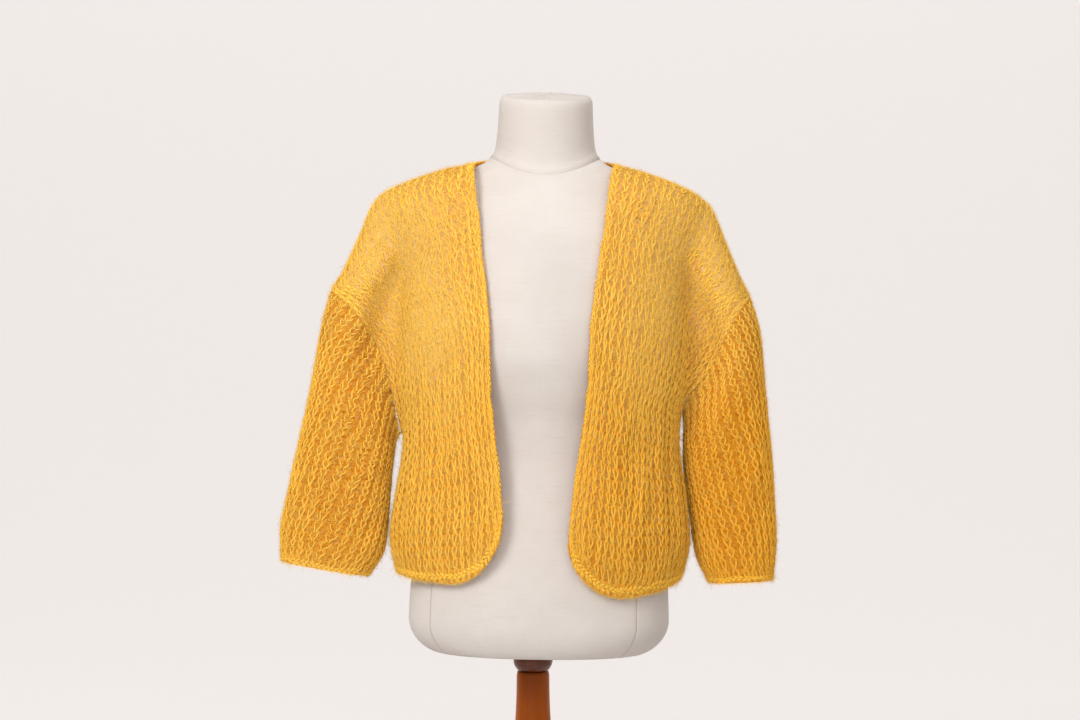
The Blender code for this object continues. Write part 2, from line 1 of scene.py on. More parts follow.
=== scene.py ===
# Open-front cropped cardigan of large-gauge mohair, on a linen dress form with a turned wooden stand.
# Sizes are in millimetres, counted from the underside of the form; "right" and "left" are the wearer's.
import math
import bpy
import numpy as np
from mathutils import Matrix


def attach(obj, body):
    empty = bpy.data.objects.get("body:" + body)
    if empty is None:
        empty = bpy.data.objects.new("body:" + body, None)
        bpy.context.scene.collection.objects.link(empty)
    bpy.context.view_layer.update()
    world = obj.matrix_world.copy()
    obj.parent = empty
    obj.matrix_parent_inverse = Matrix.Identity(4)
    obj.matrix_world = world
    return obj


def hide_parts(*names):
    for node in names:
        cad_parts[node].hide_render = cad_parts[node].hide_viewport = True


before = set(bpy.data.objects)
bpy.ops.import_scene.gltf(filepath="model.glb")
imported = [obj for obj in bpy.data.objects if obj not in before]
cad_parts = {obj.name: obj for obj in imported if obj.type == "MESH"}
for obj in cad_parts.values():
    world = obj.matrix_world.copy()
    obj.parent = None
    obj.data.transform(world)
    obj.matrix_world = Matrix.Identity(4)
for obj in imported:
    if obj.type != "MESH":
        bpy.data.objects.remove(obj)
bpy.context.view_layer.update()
mm = 0.001
tau = 2 * math.pi

studio = {
    "eye": (0.0091, -3.0, 1.158),
    "widthAngle": 26.36,
    "floorNear": -9.0,
    "floorHalfWidth": 12.0,
    "backdropDistance": 8.0,
    "backdropRound": 3.0,
    "backdropHeight": 9.0,
    "backdropColour": "#EAE8E7",
    "backdropGlow": "#A9A7A8",  # far part of the paper, which the lamps reach least
    "glowDepths": (1.5, 4.2),
    "skyColour": "#F8EEE5",
    "skyStrength": 0.43,
}
lamps = {  # place, aim, size in metres, watts, colour
    "key": ((-1.6, -2.6, 3.0), (0.0, 0.0, 1.2), 1.3, 72, "#FFFDFC"),
    "front": ((0.1, -2.9, 2.3), (0.0, 0.0, 1.2), 1.8, 24, "#FFFDFC"),
    "top": ((0.5, -0.9, 3.0), (0.0, 0.0, 1.3), 1.6, 10, "#FFFDFC"),
    "back": ((1.6, 2.6, 2.2), (0.0, 0.0, 1.2), 1.8, 18, "#FFFFFF"),
}


def curveThrough(rows, names, name, at):
    # Cubic pieces through a table's rows, with slopes that never overshoot.
    xs = np.array([row[0] for row in rows], float)
    ys = np.array([row[names.index(name)] for row in rows], float)
    at = np.asarray(at, float)
    step = np.diff(xs)
    slope = np.diff(ys) / step
    product, total = slope[:-1] * slope[1:], slope[:-1] + slope[1:]
    inner = np.where(product > 0, 2 * product / np.where(total == 0, 1, total), 0.0)
    ends = np.concatenate(([slope[0]], inner, [slope[-1]]))
    place = np.clip(np.searchsorted(xs, at, side="right") - 1, 0, len(step) - 1)
    share = np.clip((at - xs[place]) / step[place], 0.0, 1.0)
    low, high = ys[place], ys[place + 1]
    first, last = ends[place] * step[place], ends[place + 1] * step[place]
    return (low * (2 * share**3 - 3 * share**2 + 1) + first * (share**3 - 2 * share**2 + share)
            + high * (3 * share**2 - 2 * share**3) + last * (share**3 - share**2))


def softStep(share):
    # Three squares less two cubes, between 0 and 1.
    share = np.clip(share, 0.0, 1.0)
    return share * share * (3 - 2 * share)


def rounded(share, power):
    # Height of a unit superellipse over the share of its half width.
    return np.clip(1 - np.abs(share)**power, 0.0, 1.0)**(1 / power)


def onForm(across, depth, height):
    # World metres from the distance beside, behind and along the form's leaning axis.
    x = form["shift"] + across * math.cos(form["lean"]) + height * math.sin(form["lean"])
    z = form["underside"] + height * math.cos(form["lean"]) - across * math.sin(form["lean"])
    return np.stack([x, np.broadcast_to(depth, np.shape(x)), z], axis=-1) * mm


def unit(vectors):
    # Each vector over its own length.
    return vectors / np.maximum(np.linalg.norm(vectors, axis=-1, keepdims=True), 1e-12)


def fullTurn(count):
    # Even angles round a circle, as a column.
    return np.linspace(0, tau, count, endpoint=False)[:, None]


def shareGrid(columns, rows):
    # Shares across and along a grid, at each of its points.
    return np.meshgrid(np.linspace(0, 1, columns), np.linspace(0, 1, rows), indexing="ij")


def lengthAlong(points):
    # Length run at each point of a path: the sum of the steps before it.
    run = np.cumsum(np.linalg.norm(np.diff(points, axis=-2), axis=-1), axis=-1)
    return np.concatenate([0 * run[..., :1], run], axis=-1)


def meshPiece(name, points, faces, uv=None, attributes=None):
    # faces is a list of index arrays, each with its own number of corners; uv has a pair for each corner.
    mesh = bpy.data.meshes.new(name)
    corners = np.concatenate([block.ravel() for block in faces]).astype(np.int32)
    sizes = np.concatenate([np.full(len(block), block.shape[1]) for block in faces])
    mesh.vertices.add(len(points))
    mesh.vertices.foreach_set("co", np.ascontiguousarray(points, dtype=np.float32).ravel())
    mesh.loops.add(len(corners))
    mesh.loops.foreach_set("vertex_index", corners)
    mesh.polygons.add(len(sizes))
    starts = np.concatenate(([0], np.cumsum(sizes)[:-1])).astype(np.int32)
    mesh.polygons.foreach_set("loop_start", starts)
    mesh.update(calc_edges=True)
    mesh.polygons.foreach_set("use_smooth", np.ones(len(sizes), dtype=bool))
    if uv is not None:
        mesh.uv_layers.new(name="lay").data.foreach_set("uv", uv.astype(np.float32).ravel())
    for label, values in (attributes or {}).items():
        mesh.attributes.new(label, "FLOAT", "POINT").data.foreach_set("value", values.astype(np.float32))
    mesh.validate()
    piece = bpy.data.objects.new(name, mesh)
    bpy.context.scene.collection.objects.link(piece)
    return piece


def dress(piece, material, replaced=None):
    # Gives a piece its finish, and lets it ride on the form in place of a node.
    piece.data.materials.append(material)
    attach(piece, "root")
    if replaced:
        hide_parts(replaced)


def gridFaces(columns, rows, wrap=False):
    # Quads over a grid of columns by rows points, with the shares of both at every corner.
    spans = columns if wrap else columns - 1
    c, r = np.meshgrid(np.arange(spans), np.arange(rows - 1), indexing="ij")
    cs = np.stack([c, c + 1, c + 1, c], axis=-1).reshape(-1, 4)
    rs = np.stack([r, r, r + 1, r + 1], axis=-1).reshape(-1, 4)
    faces = (cs % columns) * rows + rs
    return faces, np.stack([cs / spans, rs / (rows - 1)], axis=-1)


def pick(grid, across, along, wrap=False):
    # Points of a grid at any shares across and along it, by straight interpolation.
    columns, rows = grid.shape[0] - 1, grid.shape[1] - 1
    across = np.mod(across, 1.0) if wrap else np.clip(across, 0, 1)
    c = np.clip((across * columns).astype(int), 0, columns - 1)
    r = np.clip((np.clip(along, 0, 1) * rows).astype(int), 0, rows - 1)
    p = (across * columns - c)[..., None]
    q = (np.clip(along, 0, 1) * rows - r)[..., None]
    low = grid[c, r] * (1 - p) + grid[c + 1, r] * p
    high = grid[c, r + 1] * (1 - p) + grid[c + 1, r + 1] * p
    return low * (1 - q) + high * q


def alongCurves(curves, shares):
    # Points at given shares of the length of each curve: curves is [curve, point, axis].
    run = lengthAlong(curves)
    run = run / np.maximum(run[:, -1:], 1e-9)
    place = (run[:, None, :] <= shares[:, :, None]).sum(axis=2) - 1
    place = np.clip(place, 0, curves.shape[1] - 2)
    low, high = np.take_along_axis(run, place, 1), np.take_along_axis(run, place + 1, 1)
    part = np.clip((shares - low) / np.maximum(high - low, 1e-9), 0, 1)[..., None]
    first = np.take_along_axis(curves, place[..., None], 1)
    second = np.take_along_axis(curves, place[..., None] + 1, 1)
    return first + (second - first) * part, run


def normalsOf(grid, wrap=False):
    # Cross product of the steps across and along the grid.
    first = np.gradient(grid, axis=0)
    if wrap:
        first[0] = first[-1] = (grid[1] - grid[-2]) / 2
    return unit(np.cross(first, np.gradient(grid, axis=1)))


def calm(grid, rounds, wrap=False):
    # Moves each inner point half way to the mean of its four neighbours, and leaves the edges.
    grid = grid.copy()
    for _ in range(rounds):
        beside = grid[:-2, 1:-1] + grid[2:, 1:-1] + grid[1:-1, :-2] + grid[1:-1, 2:]
        seam = (grid[1, 1:-1] + grid[-2, 1:-1] + grid[0, :-2] + grid[0, 2:]) / 4 - grid[0, 1:-1]
        grid[1:-1, 1:-1] += (beside / 4 - grid[1:-1, 1:-1]) * 0.5
        if wrap:
            grid[0, 1:-1] = grid[-1, 1:-1] = grid[0, 1:-1] + seam * 0.5
    return grid


print("camera, light and backdrop")


def paint(text):
    # Linear colour from a hexadecimal one.
    values = [int(text[i:i + 2], 16) / 255 for i in (1, 3, 5)]
    return tuple(v / 12.92 if v <= 0.04045 else ((v + 0.055) / 1.055)**2.4 for v in values) + (1.0,)


def aim(item, target):
    # Tips the lamp by the angle from straight down, and turns it towards the target.
    x, y, z = np.array(target) - np.array(item.location)
    item.rotation_euler = (math.atan2(math.hypot(x, y), -z), 0, math.atan2(-x, y))


def makeStudio():
    # Camera, soft round lamps and a plain sky.
    camera = bpy.data.objects.new("camera", bpy.data.cameras.new("camera"))
    camera.data.sensor_fit = "HORIZONTAL"
    camera.data.angle = math.radians(studio["widthAngle"])
    camera.location = studio["eye"]
    camera.rotation_euler = (math.pi / 2, 0, 0)
    bpy.context.scene.collection.objects.link(camera)
    bpy.context.scene.camera = camera
    for name, (place, target, size, watts, colour) in lamps.items():
        lamp = bpy.data.objects.new(name, bpy.data.lights.new(name, "AREA"))
        lamp.data.shape = "DISK"
        lamp.data.size = size
        lamp.data.energy = watts
        lamp.data.color = paint(colour)[:3]
        lamp.location = place
        aim(lamp, target)
        bpy.context.scene.collection.objects.link(lamp)
    world = bpy.data.worlds.new("sky")
    bpy.context.scene.world = world
    world.use_nodes = True
    sky = world.node_tree.nodes["Background"].inputs
    sky["Color"].default_value = paint(studio["skyColour"])
    sky["Strength"].default_value = studio["skyStrength"]
    bpy.context.scene.view_settings.view_transform = "Standard"


def makeBackdrop():
    # Floor that turns up into a wall through a quarter circle.
    radius, far, half = studio["backdropRound"], studio["backdropDistance"], studio["floorHalfWidth"]
    turn = np.linspace(0, math.pi / 2, 25)
    depth = np.concatenate(([studio["floorNear"]], far - radius + radius * np.sin(turn), [far]))
    height = np.concatenate(([0.0], radius - radius * np.cos(turn), [studio["backdropHeight"]]))
    x, depth = np.meshgrid((-half, half), depth, indexing="ij")
    points = np.stack([x, depth, height + 0 * x], axis=-1).reshape(-1, 3)
    backdrop = meshPiece("backdrop", points, [gridFaces(*x.shape)[0]])
    return backdrop


class Wire:
    # One number inside a material; arithmetic on it adds the nodes that work it out.
    def __init__(self, recipe, socket):
        self.recipe, self.socket = recipe, socket

    def work(self, operation, *values):
        return self.recipe.node("ShaderNodeMath", {"operation": operation}, dict(enumerate(values)))

    def by(self, operation, *others): return self.work(operation, self, *others)
    def __add__(self, other): return self.by("ADD", other)
    def __radd__(self, other): return self.work("ADD", other, self)
    def __sub__(self, other): return self.by("SUBTRACT", other)
    def __rsub__(self, other): return self.work("SUBTRACT", other, self)
    def __mul__(self, other): return self.by("MULTIPLY", other)
    def __rmul__(self, other): return self.work("MULTIPLY", other, self)


class Recipe:
    # A material on the Principled shader, whose sockets take constants or wires.
    def __init__(self, name):
        self.material = bpy.data.materials.new(name)
        self.material.use_nodes = True
        self.tree = self.material.node_tree
        self.shader = self.tree.nodes["Principled BSDF"]

    def node(self, kind, settings=None, sockets=None, output=0):
        node = self.tree.nodes.new(kind)
        for name, value in (settings or {}).items():
            setattr(node, name, value)
        for name, value in (sockets or {}).items():
            self.feed(node.inputs[name], value)
        return Wire(self, node.outputs[output])

    def feed(self, socket, value):
        if isinstance(value, Wire):
            self.tree.links.new(value.socket, socket)
        else:
            socket.default_value = value

    def give(self, **values):
        # Sockets by their own names, with _ for a space.
        for name, value in values.items():
            self.feed(self.shader.inputs[name.replace("_", " ")], value)
        return self.material

    def fluff(self, base, sheen, spread, gloss, **values):
        # Mohair's soft shine, in the colour of the loops' legs.
        return self.give(Base_Color=base, Sheen_Weight=sheen, Sheen_Roughness=spread,
                         Specular_IOR_Level=gloss, Sheen_Tint=paint(shades["leg"]), **values)

    def place(self):
        return self.node("ShaderNodeTexCoord", output="Object")

    def lay(self):
        return self.node("ShaderNodeTexCoord", output="UV")

    def parts(self, where):
        node = self.node("ShaderNodeSeparateXYZ", {}, {0: where}).socket.node
        return [Wire(self, output) for output in node.outputs]

    def drawn(self, where, scale, shift=0.0):
        # The pattern on it is drawn out where the scale is small.
        return self.node("ShaderNodeMapping", {}, {0: where, "Location": (shift, 0.0, 0.0), "Scale": scale})

    def noise(self, where, scale, detail=2.0, roughness=0.5):
        return self.node("ShaderNodeTexNoise", {}, {"Vector": where, "Scale": scale, "Detail": detail,
                                                   "Roughness": roughness})

    def carried(self, label):
        return self.node("ShaderNodeAttribute", {"attribute_name": label}, output="Fac")

    def tune(self, value, low, high, toLow=0.0, toHigh=1.0):
        # Smooth step from one value to another over a range.
        return self.node("ShaderNodeMapRange", {"interpolation_type": "SMOOTHSTEP"},
                         {0: value, 1: low, 2: high, 3: toLow, 4: toHigh})

    def mix(self, share, first, second):
        return self.node("ShaderNodeMix", {"data_type": "RGBA"}, {0: share, 6: first, 7: second}, 2)

    def bump(self, height, distance, strength=1.0):
        return self.node("ShaderNodeBump", {}, {"Height": height, "Distance": distance, "Strength": strength})


makeStudio()
backdrop = makeBackdrop()

print("dress form")

form = {
    "underside": 780.0,
    "shift": 7.0,
    "lean": math.radians(0.8),
    "edgeAcross": 34.0,  # how far the lower edge draws in at the sides, and before and behind
    "edgeDeep": 18.0,
    "edgeRound": 1.4,
    "edgeRings": 12,
    "sides": 128,
    "rings": 90,
    "softFrom": 530.0,  # shoulders are evened out from this height, in so many millimetres
    "softOver": 40.0,
    "softSide": 0.7,
    "softRounds": 90,
    "coverSize": (0.88, 0.66),  # metres of cloth round and up the body, and round and up the neck
    "neckCover": (0.45, 0.14),
    "seamShift": 0.010,
    "seamTop": 0.5,
    "seamAcross": 0.1206,  # metres from the middle of the front or back to each lengthwise seam
    "seamGap": 0.9,
    "neckHeight": 80.0,
    "neckTilt": 11.0,
    "neckLean": 8.0,
    "neckDeeper": 0.04,
    "neckRings": 16,
    "neckFoot": (0.98, -2.0),  # width and height of the ring that closes the seam from inside
    "lidRings": 22,
    "lidMiddle": 0.04,
    "crown": 2.6,
    "dimple": (1.8, 0.16),  # depth in millimetres and width as a share of the lid
    "gathers": 34,
    "gatherDepth": 0.9,
    "gatherWander": 1.3,
}
formNames = ("height", "halfWidth", "front", "back", "power", "frontDrop", "backRise")
formRows = (
    (42, 169.0, 111, 113, 2.2, 0, 0),
    (80, 167.5, 111, 112, 2.2, 0, 0),
    (120, 161.0, 109, 107, 2.2, 0, 0),
    (160, 147.0, 105, 99, 2.2, 0, 0),
    (205, 128.0, 99, 88, 2.2, 0, 0),
    (250, 118.5, 96, 82, 2.2, 0, 0),
    (295, 121.5, 101, 83, 2.2, 0, 0),
    (340, 131.0, 114, 89, 2.2, 0, 0),
    (385, 142.0, 126, 97, 2.2, 0, 0),
    (420, 147.0, 128, 103, 2.2, 0, 0),
    (455, 153.0, 124, 108, 2.1, 0, 0),
    (485, 162.0, 118, 110, 2.0, 0, 0),
    (515, 173.0, 112, 111, 1.9, 0, 0),
    (545, 186.0, 106, 110, 1.8, 0, 0),
    (572, 196.5, 100, 107, 1.75, 2, 0),
    (584, 195.0, 98, 104, 1.75, 6, 1),
    (591, 190.0, 96, 102, 1.75, 9, 2),
    (597, 181.0, 94, 99, 1.75, 11, 3),
    (604, 163.0, 90, 94, 1.8, 15, 5),
    (610, 147.0, 87, 90, 1.8, 18, 7),
    (616, 129.0, 83, 86, 1.9, 20, 9),
    (622, 106.0, 78, 79, 1.95, 22, 11),
    (627, 91.0, 73, 73, 2.0, 23, 12),
    (633, 79.0, 68, 67, 2.0, 25, 14),
    (640, 71.5, 64, 62, 2.0, 26, 15),
)
neckNames = ("share", "width")
neckRows = ((0.0, 1.0), (0.07, 0.94), (0.2, 0.90), (0.55, 0.865), (0.9, 0.845), (0.97, 0.83), (1.0, 0.80))


def formSection(angle, height):
    # Torso section: a superellipse with its own reach before and behind, tipped down at the front.
    value = {name: curveThrough(formRows, formNames, name, height) for name in formNames[1:]}
    sine, cosine = np.sin(angle), np.cos(angle)
    across = value["halfWidth"] * np.sign(sine) * np.abs(sine)**(2 / value["power"])
    reach = np.where(cosine > 0, value["front"], value["back"])
    depth = -reach * np.sign(cosine) * np.abs(cosine)**(2 / value["power"])
    tilt = np.where(cosine > 0, -value["frontDrop"], value["backRise"]) * cosine**2
    return across, depth, height + tilt


def closedRings(name, rings, uvSize):
    # Skin over rings [side, ring, xyz] that climb, with a fan of triangles at each end.
    sides, count = rings.shape[:2]
    faces, shares = gridFaces(sides, count, wrap=True)
    points = np.concatenate([rings.reshape(-1, 3), [rings[:, 0].mean(axis=0)], [rings[:, -1].mean(axis=0)]])
    side = np.arange(sides)
    after = (side + 1) % sides
    low = np.stack([after * count, side * count, np.full(sides, sides * count)], axis=1)
    high = np.stack([side, after, side], axis=1) * count + (count - 1)
    high[:, 2] = sides * count + 1
    fan = np.stack([side, side + 1, side + 0.5], axis=1) / sides
    lowUv = np.stack([fan[:, [1, 0, 2]], np.tile((0.0, 0.0, -0.1), (sides, 1))], axis=-1)
    highUv = np.stack([fan, np.tile((1.0, 1.0, 1.1), (sides, 1))], axis=-1)
    uv = np.concatenate([block.reshape(-1, 2) for block in (shares, lowUv, highUv)]) * np.array(uvSize)
    return meshPiece(name, points, [faces, low, high], uv)


def makeTorso():
    # The lower edge draws in on a rounded corner, and the sections above it climb to the neck seam.
    turn = fullTurn(form["sides"])
    low, top = formRows[0][0], formRows[-1][0]
    bend = np.linspace(0, math.pi / 2, form["edgeRings"], endpoint=False)[None, :]
    across, depth, _ = formSection(turn, low + 0 * bend)
    inset = 1 - np.sin(bend)**form["edgeRound"]
    lift = low * (1 - np.cos(bend)) + 0 * turn
    edge = onForm(across * (1 - inset * form["edgeAcross"] / formRows[0][1]),
                  depth * (1 - inset * form["edgeDeep"] / formRows[0][3]), lift)
    rings = np.linspace(low, top, form["rings"])[None, :]
    body = onForm(*formSection(turn, rings))
    body = np.concatenate([body, body[:1]])
    middle = np.abs(np.cos(np.append(turn, 0)))[:, None]
    soft = softStep((rings - form["softFrom"]) / form["softOver"]) * softStep(middle / form["softSide"])
    body = (body + (calm(body, form["softRounds"], wrap=True) - body) * soft[..., None])[:-1]
    return closedRings("linen_torso", np.concatenate([edge, body], axis=1), form["coverSize"])


def makeNeck():
    # The neck block narrows to a tipped top, whose cover is gathered towards a tied middle.
    turn = fullTurn(form["sides"])
    top = formRows[-1][0]
    across, depth, tall = formSection(turn, top + 0 * turn)
    share = np.linspace(0, 1, form["neckRings"])[None, :]
    width = curveThrough(neckRows, neckNames, "width", share)
    deep = width + form["neckDeeper"] * softStep(share)
    tilt = form["neckTilt"] * np.cos(turn)
    height = tall + form["seamGap"] + (top + form["neckHeight"] - tilt - tall - form["seamGap"]) * share
    wall = onForm(across * width, depth * deep - form["neckLean"] * share, height)
    inward = np.linspace(1, form["lidMiddle"], form["lidRings"])[None, 1:]
    dip, spread = form["dimple"]
    crown = form["crown"] * (1 - inward**2) - dip * np.exp(-(inward / spread)**2)
    wave = np.sin(form["gathers"] * turn + form["gatherWander"] * np.sin(3 * turn))
    fold = form["gatherDepth"] * wave * np.sin(math.pi * inward)
    lid = onForm(across * width[:, -1:] * inward, depth * deep[:, -1:] * inward - form["neckLean"],
                 top + form["neckHeight"] - tilt * inward + crown + fold)
    width, rise = form["neckFoot"]
    foot = onForm(across * width, depth * width, tall + rise)
    return closedRings("linen_neck", np.concatenate([foot, wall, lid], axis=1), form["neckCover"])


covers = {"plain": "#D2CCC7", "pale": "#D9D4CF", "slub": "#C6BDB4", "gap": "#BBB0A5", "seam": "#967F6B"}
weave = {  # threads in radians for each metre, slubs, and the seams' half width and spacing in metres
    "warp": 4400.0,
    "weft": 4200.0,
    "wobble": 5.0,
    "slubs": (30.0, 420.0, 1.0),
    "panel": 0.22,
    "seam": (0.0004, 0.0012),
    "groove": 0.004,
}


def linenFinish():
    # Plain weave: two sine waves cross, each shifted by noise; seams lie at even distances round the cover.
    recipe = Recipe("linen cover")
    lay = recipe.lay()
    across, along, _ = recipe.parts(lay)
    wobble = recipe.noise(recipe.place(), 55.0, 3.0) * weave["wobble"]
    warp = (across * weave["warp"] + wobble).by("SINE")
    weft = (along * weave["weft"] + wobble).by("SINE")
    threads = warp * 0.5 + weft * 0.5
    slubs = recipe.noise(recipe.drawn(lay, weave["slubs"]), 1.0, 3.0)
    cloud = recipe.noise(recipe.place(), 9.0, 4.0, 0.6)
    half = (across + form["seamShift"]).by("PINGPONG", weave["panel"] * 2)
    seam = (half.by("PINGPONG", weave["panel"]) - form["seamAcross"]).by("ABSOLUTE")
    base = recipe.mix(recipe.tune(cloud, 0.3, 0.72), paint(covers["plain"]), paint(covers["pale"]))
    base = recipe.mix(recipe.tune(slubs, 0.52, 0.78, 0.0, 0.35), base, paint(covers["slub"]))
    base = recipe.mix(recipe.tune(threads, -0.9, 0.1, 0.22, 0.0), base, paint(covers["gap"]))
    low = recipe.tune(along, form["seamTop"], form["seamTop"] + 0.05, 1.0, 0.0)
    base = recipe.mix(recipe.tune(seam, *weave["seam"], 0.55, 0.0) * low, base, paint(covers["seam"]))
    height = threads * 0.5 + slubs * 0.8 + recipe.tune(seam, 0.0, weave["groove"], -3.0, 0.0) * low
    recipe.give(Base_Color=base, Normal=recipe.bump(height, 0.00022, 0.55), Roughness=0.86)
    return recipe.give(Sheen_Weight=0.12, Sheen_Roughness=0.6, Specular_IOR_Level=0.2)


torso, linen = makeTorso(), linenFinish()
dress(torso, linen, "form_torso")
dress(makeNeck(), linen, "form_neck")


print("turned stand")

turnedNames = ("drop", "radius")
stand = {  # height of each turned piece's top, how many rings it has, and its rows
    "stand_knob": (779.6, 24, (
        (0, 22), (4, 25), (10, 26), (16, 25.2), (21.5, 22.5), (25, 19.5), (26, 17.5),
    )),
    "stand_column": (753.3, 150, (
        (0, 20.3), (3, 21.2), (30, 21.6), (60, 22.9), (75, 24.2), (100, 25.5), (112, 23), (120, 19.5),
        (128, 22.5), (136, 25.5), (146, 22.5), (154, 18.5), (220, 17.5), (420, 18.5), (560, 21.5),
        (600, 26), (616, 27.5), (628, 23), (640, 20), (652, 26), (668, 33), (690, 36), (723, 38),
    )),
    "stand_base": (30.0, 30, (
        (0, 60), (6, 150), (12, 190), (20, 200), (25, 200), (30, 195),
    )),
}
turnedSides = 96


def makeTurned(name):
    # Turned from its rows of drop and radius, and closed flat at both ends.
    top, count, rows = stand[name]
    turn = fullTurn(turnedSides)
    drop = np.linspace(rows[-1][0], 0, count)[None, :]
    radius = curveThrough(rows, turnedNames, "radius", drop)
    rings = np.stack([radius * np.sin(turn), -radius * np.cos(turn), top - drop + 0 * turn], axis=-1) * mm
    return closedRings("turned_" + name, rings, (1.0, 1.0))


def woodFinish(name, dark, light, shine, coat, rings, run):
    # Grain is noise drawn out along the wood, over slow rings.
    recipe = Recipe(name)
    drawn = recipe.drawn(recipe.place(), run)
    grain = recipe.noise(drawn, 260.0, 4.0, 0.6)
    flame = recipe.noise(drawn, rings, 3.0, 0.55)
    base = recipe.mix(recipe.tune(flame, 0.32, 0.7), paint(dark), paint(light))
    base = recipe.mix(recipe.tune(grain, 0.5, 0.72, 0.0, 0.5), base, paint(dark))
    rough = recipe.tune(grain, 0.3, 0.7, shine, shine + 0.12)
    recipe.give(Base_Color=base, Roughness=rough, Normal=recipe.bump(grain, 0.0002, 0.4))
    return recipe.give(Coat_Weight=coat, Coat_Roughness=0.12, Specular_IOR_Level=0.2)


darkStain = ("#4E210A", "#7C3A12", 0.16, 0.5)  # two colours, roughness and varnish
amberStain = ("#843C00", "#BA6000", 0.36, 0.06)
upright, level = (1.0, 1.0, 0.06), (0.06, 1.0, 1.0)
woods = {  # slot, material, stain, rings for each metre, and the way of the grain
    "stand_knob": ("dark_wood", "dark wood", darkStain, 34.0, upright),
    "stand_column": ("amber_wood", "amber wood", amberStain, 30.0, upright),
    "stand_base": ("amber_wood", "amber plank", amberStain, 12.0, level),
}
for name, (slot, label, stain, rings, run) in woods.items():
    dress(makeTurned(name), woodFinish(label, *stain, rings, run), name)


def backdropFinish():
    # Paper whose far part glows a little, as if washed by lamps of its own.
    recipe = Recipe("backdrop paper")
    far = recipe.tune(recipe.parts(recipe.place())[1], *studio["glowDepths"])
    glow = recipe.mix(far, (0.0, 0.0, 0.0, 1.0), paint(studio["backdropGlow"]))
    recipe.give(Base_Color=paint(studio["backdropColour"]), Roughness=0.95, Specular_IOR_Level=0.0)
    return recipe.give(Emission_Color=glow, Emission_Strength=1.0)


backdrop.data.materials.append(backdropFinish())

print("shape of the worn cloth")

# Outer face of the worn cloth: its reach at the side, front and back, and the arm's half depth.
bodyNames = ("height", "side", "front", "back", "power", "depth")
bodyRows = (
    (76, 178, 118, 113, 2.15, 0),
    (98, 184, 121, 115, 2.15, 0),
    (117, 190, 124, 116, 2.15, 0),
    (145, 195, 126, 116, 2.15, 0),
    (200, 189, 127, 114, 2.15, 0),
    (250, 181, 128, 113, 2.15, 0),
    (280, 179, 130, 112, 2.15, 2),
    (312, 181, 131, 112, 2.15, 22),
    (350, 187, 132, 112, 2.15, 38),
    (385, 187, 133, 112, 2.15, 44),
    (420, 187, 133, 113, 2.15, 46),
    (455, 186, 129, 114, 2.1, 45),
    (485, 187, 123, 115, 2.05, 43),
    (510, 191, 118, 116, 2.0, 41),
    (540, 199, 112, 116, 1.95, 39),
    (564, 204, 107, 114, 1.9, 36),
    (585, 206, 100, 110, 1.85, 31),
    (600, 193, 95, 104, 1.85, 25),
    (613, 163, 88, 97, 1.85, 17),
    (624, 128, 81, 91, 1.9, 9),
    (632, 98, 75, 86, 2.0, 4),
    (650, 84, 72, 80, 2.0, 2),
)
sideNames = ("height", "right", "left")
outlineRows = (  # outline over the drop shoulder and down the outside of the sleeve
    (278, 313, 298),
    (290, 312, 297),
    (333, 302, 292),
    (366, 296, 289),
    (410, 291, 285),
    (440, 285, 280),
    (465, 277, 269),
    (485, 264, 258),
    (510, 252, 247),
    (540, 239, 234),
    (564, 230, 225),
    (582, 221, 215),
    (595, 207, 200),
    (605, 187, 179),
    (613, 165, 158),
    (620, 147, 139),
    (626, 128, 122),
    (632, 95, 97),
    (650, 81, 82),
)
edgeRows = (  # front opening edges
    (76, 47, 36),
    (165, 47, 36),
    (192, 48, 38.5),
    (215, 51, 41),
    (261, 56, 47),
    (307, 62, 53),
    (353, 66, 58),
    (402, 66, 59),
    (453, 70, 63),
    (484, 74, 67),
    (521, 79, 72),
    (547, 81, 76),
    (571, 85, 78),
    (594, 88, 81),
    (615, 91, 84),
    (632, 90, 88),
)
armholeNames = ("height", "reach")
armholeRows = {
    "right": ((278.5, 182.5), (313, 190), (350, 199), (388, 212.5), (420, 230), (445, 251), (465, 277)),
    "left": ((310, 181), (331, 187.5), (345, 199), (366, 216), (400, 230), (435, 247), (465, 269)),
}
sleeveNames = ("row", "outer", "outerHeight", "inner", "innerHeight", "front", "back")
sleeveRows = {
    "right": (
        (0, 277, 465, 184, 278, 45, 45),
        (1, 287, 425, 190, 260, 48, 45),
        (2, 295, 372, 193.5, 234, 47, 43),
        (3, 304, 322, 195.5, 205, 44, 39),
        (4, 316, 266, 197, 176, 41, 36),
        (5, 328, 208, 198.5, 148, 38, 33),
        (6, 338, 152, 203, 124, 35, 31),
        (7, 336, 113, 222, 95, 31, 28),
    ),
    "left": (
        (0, 269, 465, 182, 309, 45, 45),
        (1, 283, 418, 184.5, 283, 48, 45),
        (2, 288, 366, 185, 255, 47, 43),
        (3, 294, 311, 187, 226, 44, 40),
        (4, 300, 257, 191, 196, 42, 37),
        (5, 304, 205, 196, 165, 40, 35),
        (6, 307.5, 150, 202.5, 128, 37, 33),
        (7, 303.5, 97, 220.5, 92, 32, 29),
    ),
}
hems = {
    "right": {"front": 93.5, "side": 101.0, "cornerHeight": 86.0, "cornerShare": 0.36},
    "left": {"front": 76.0, "side": 101.0, "cornerHeight": 72.0, "cornerShare": 0.40},
}
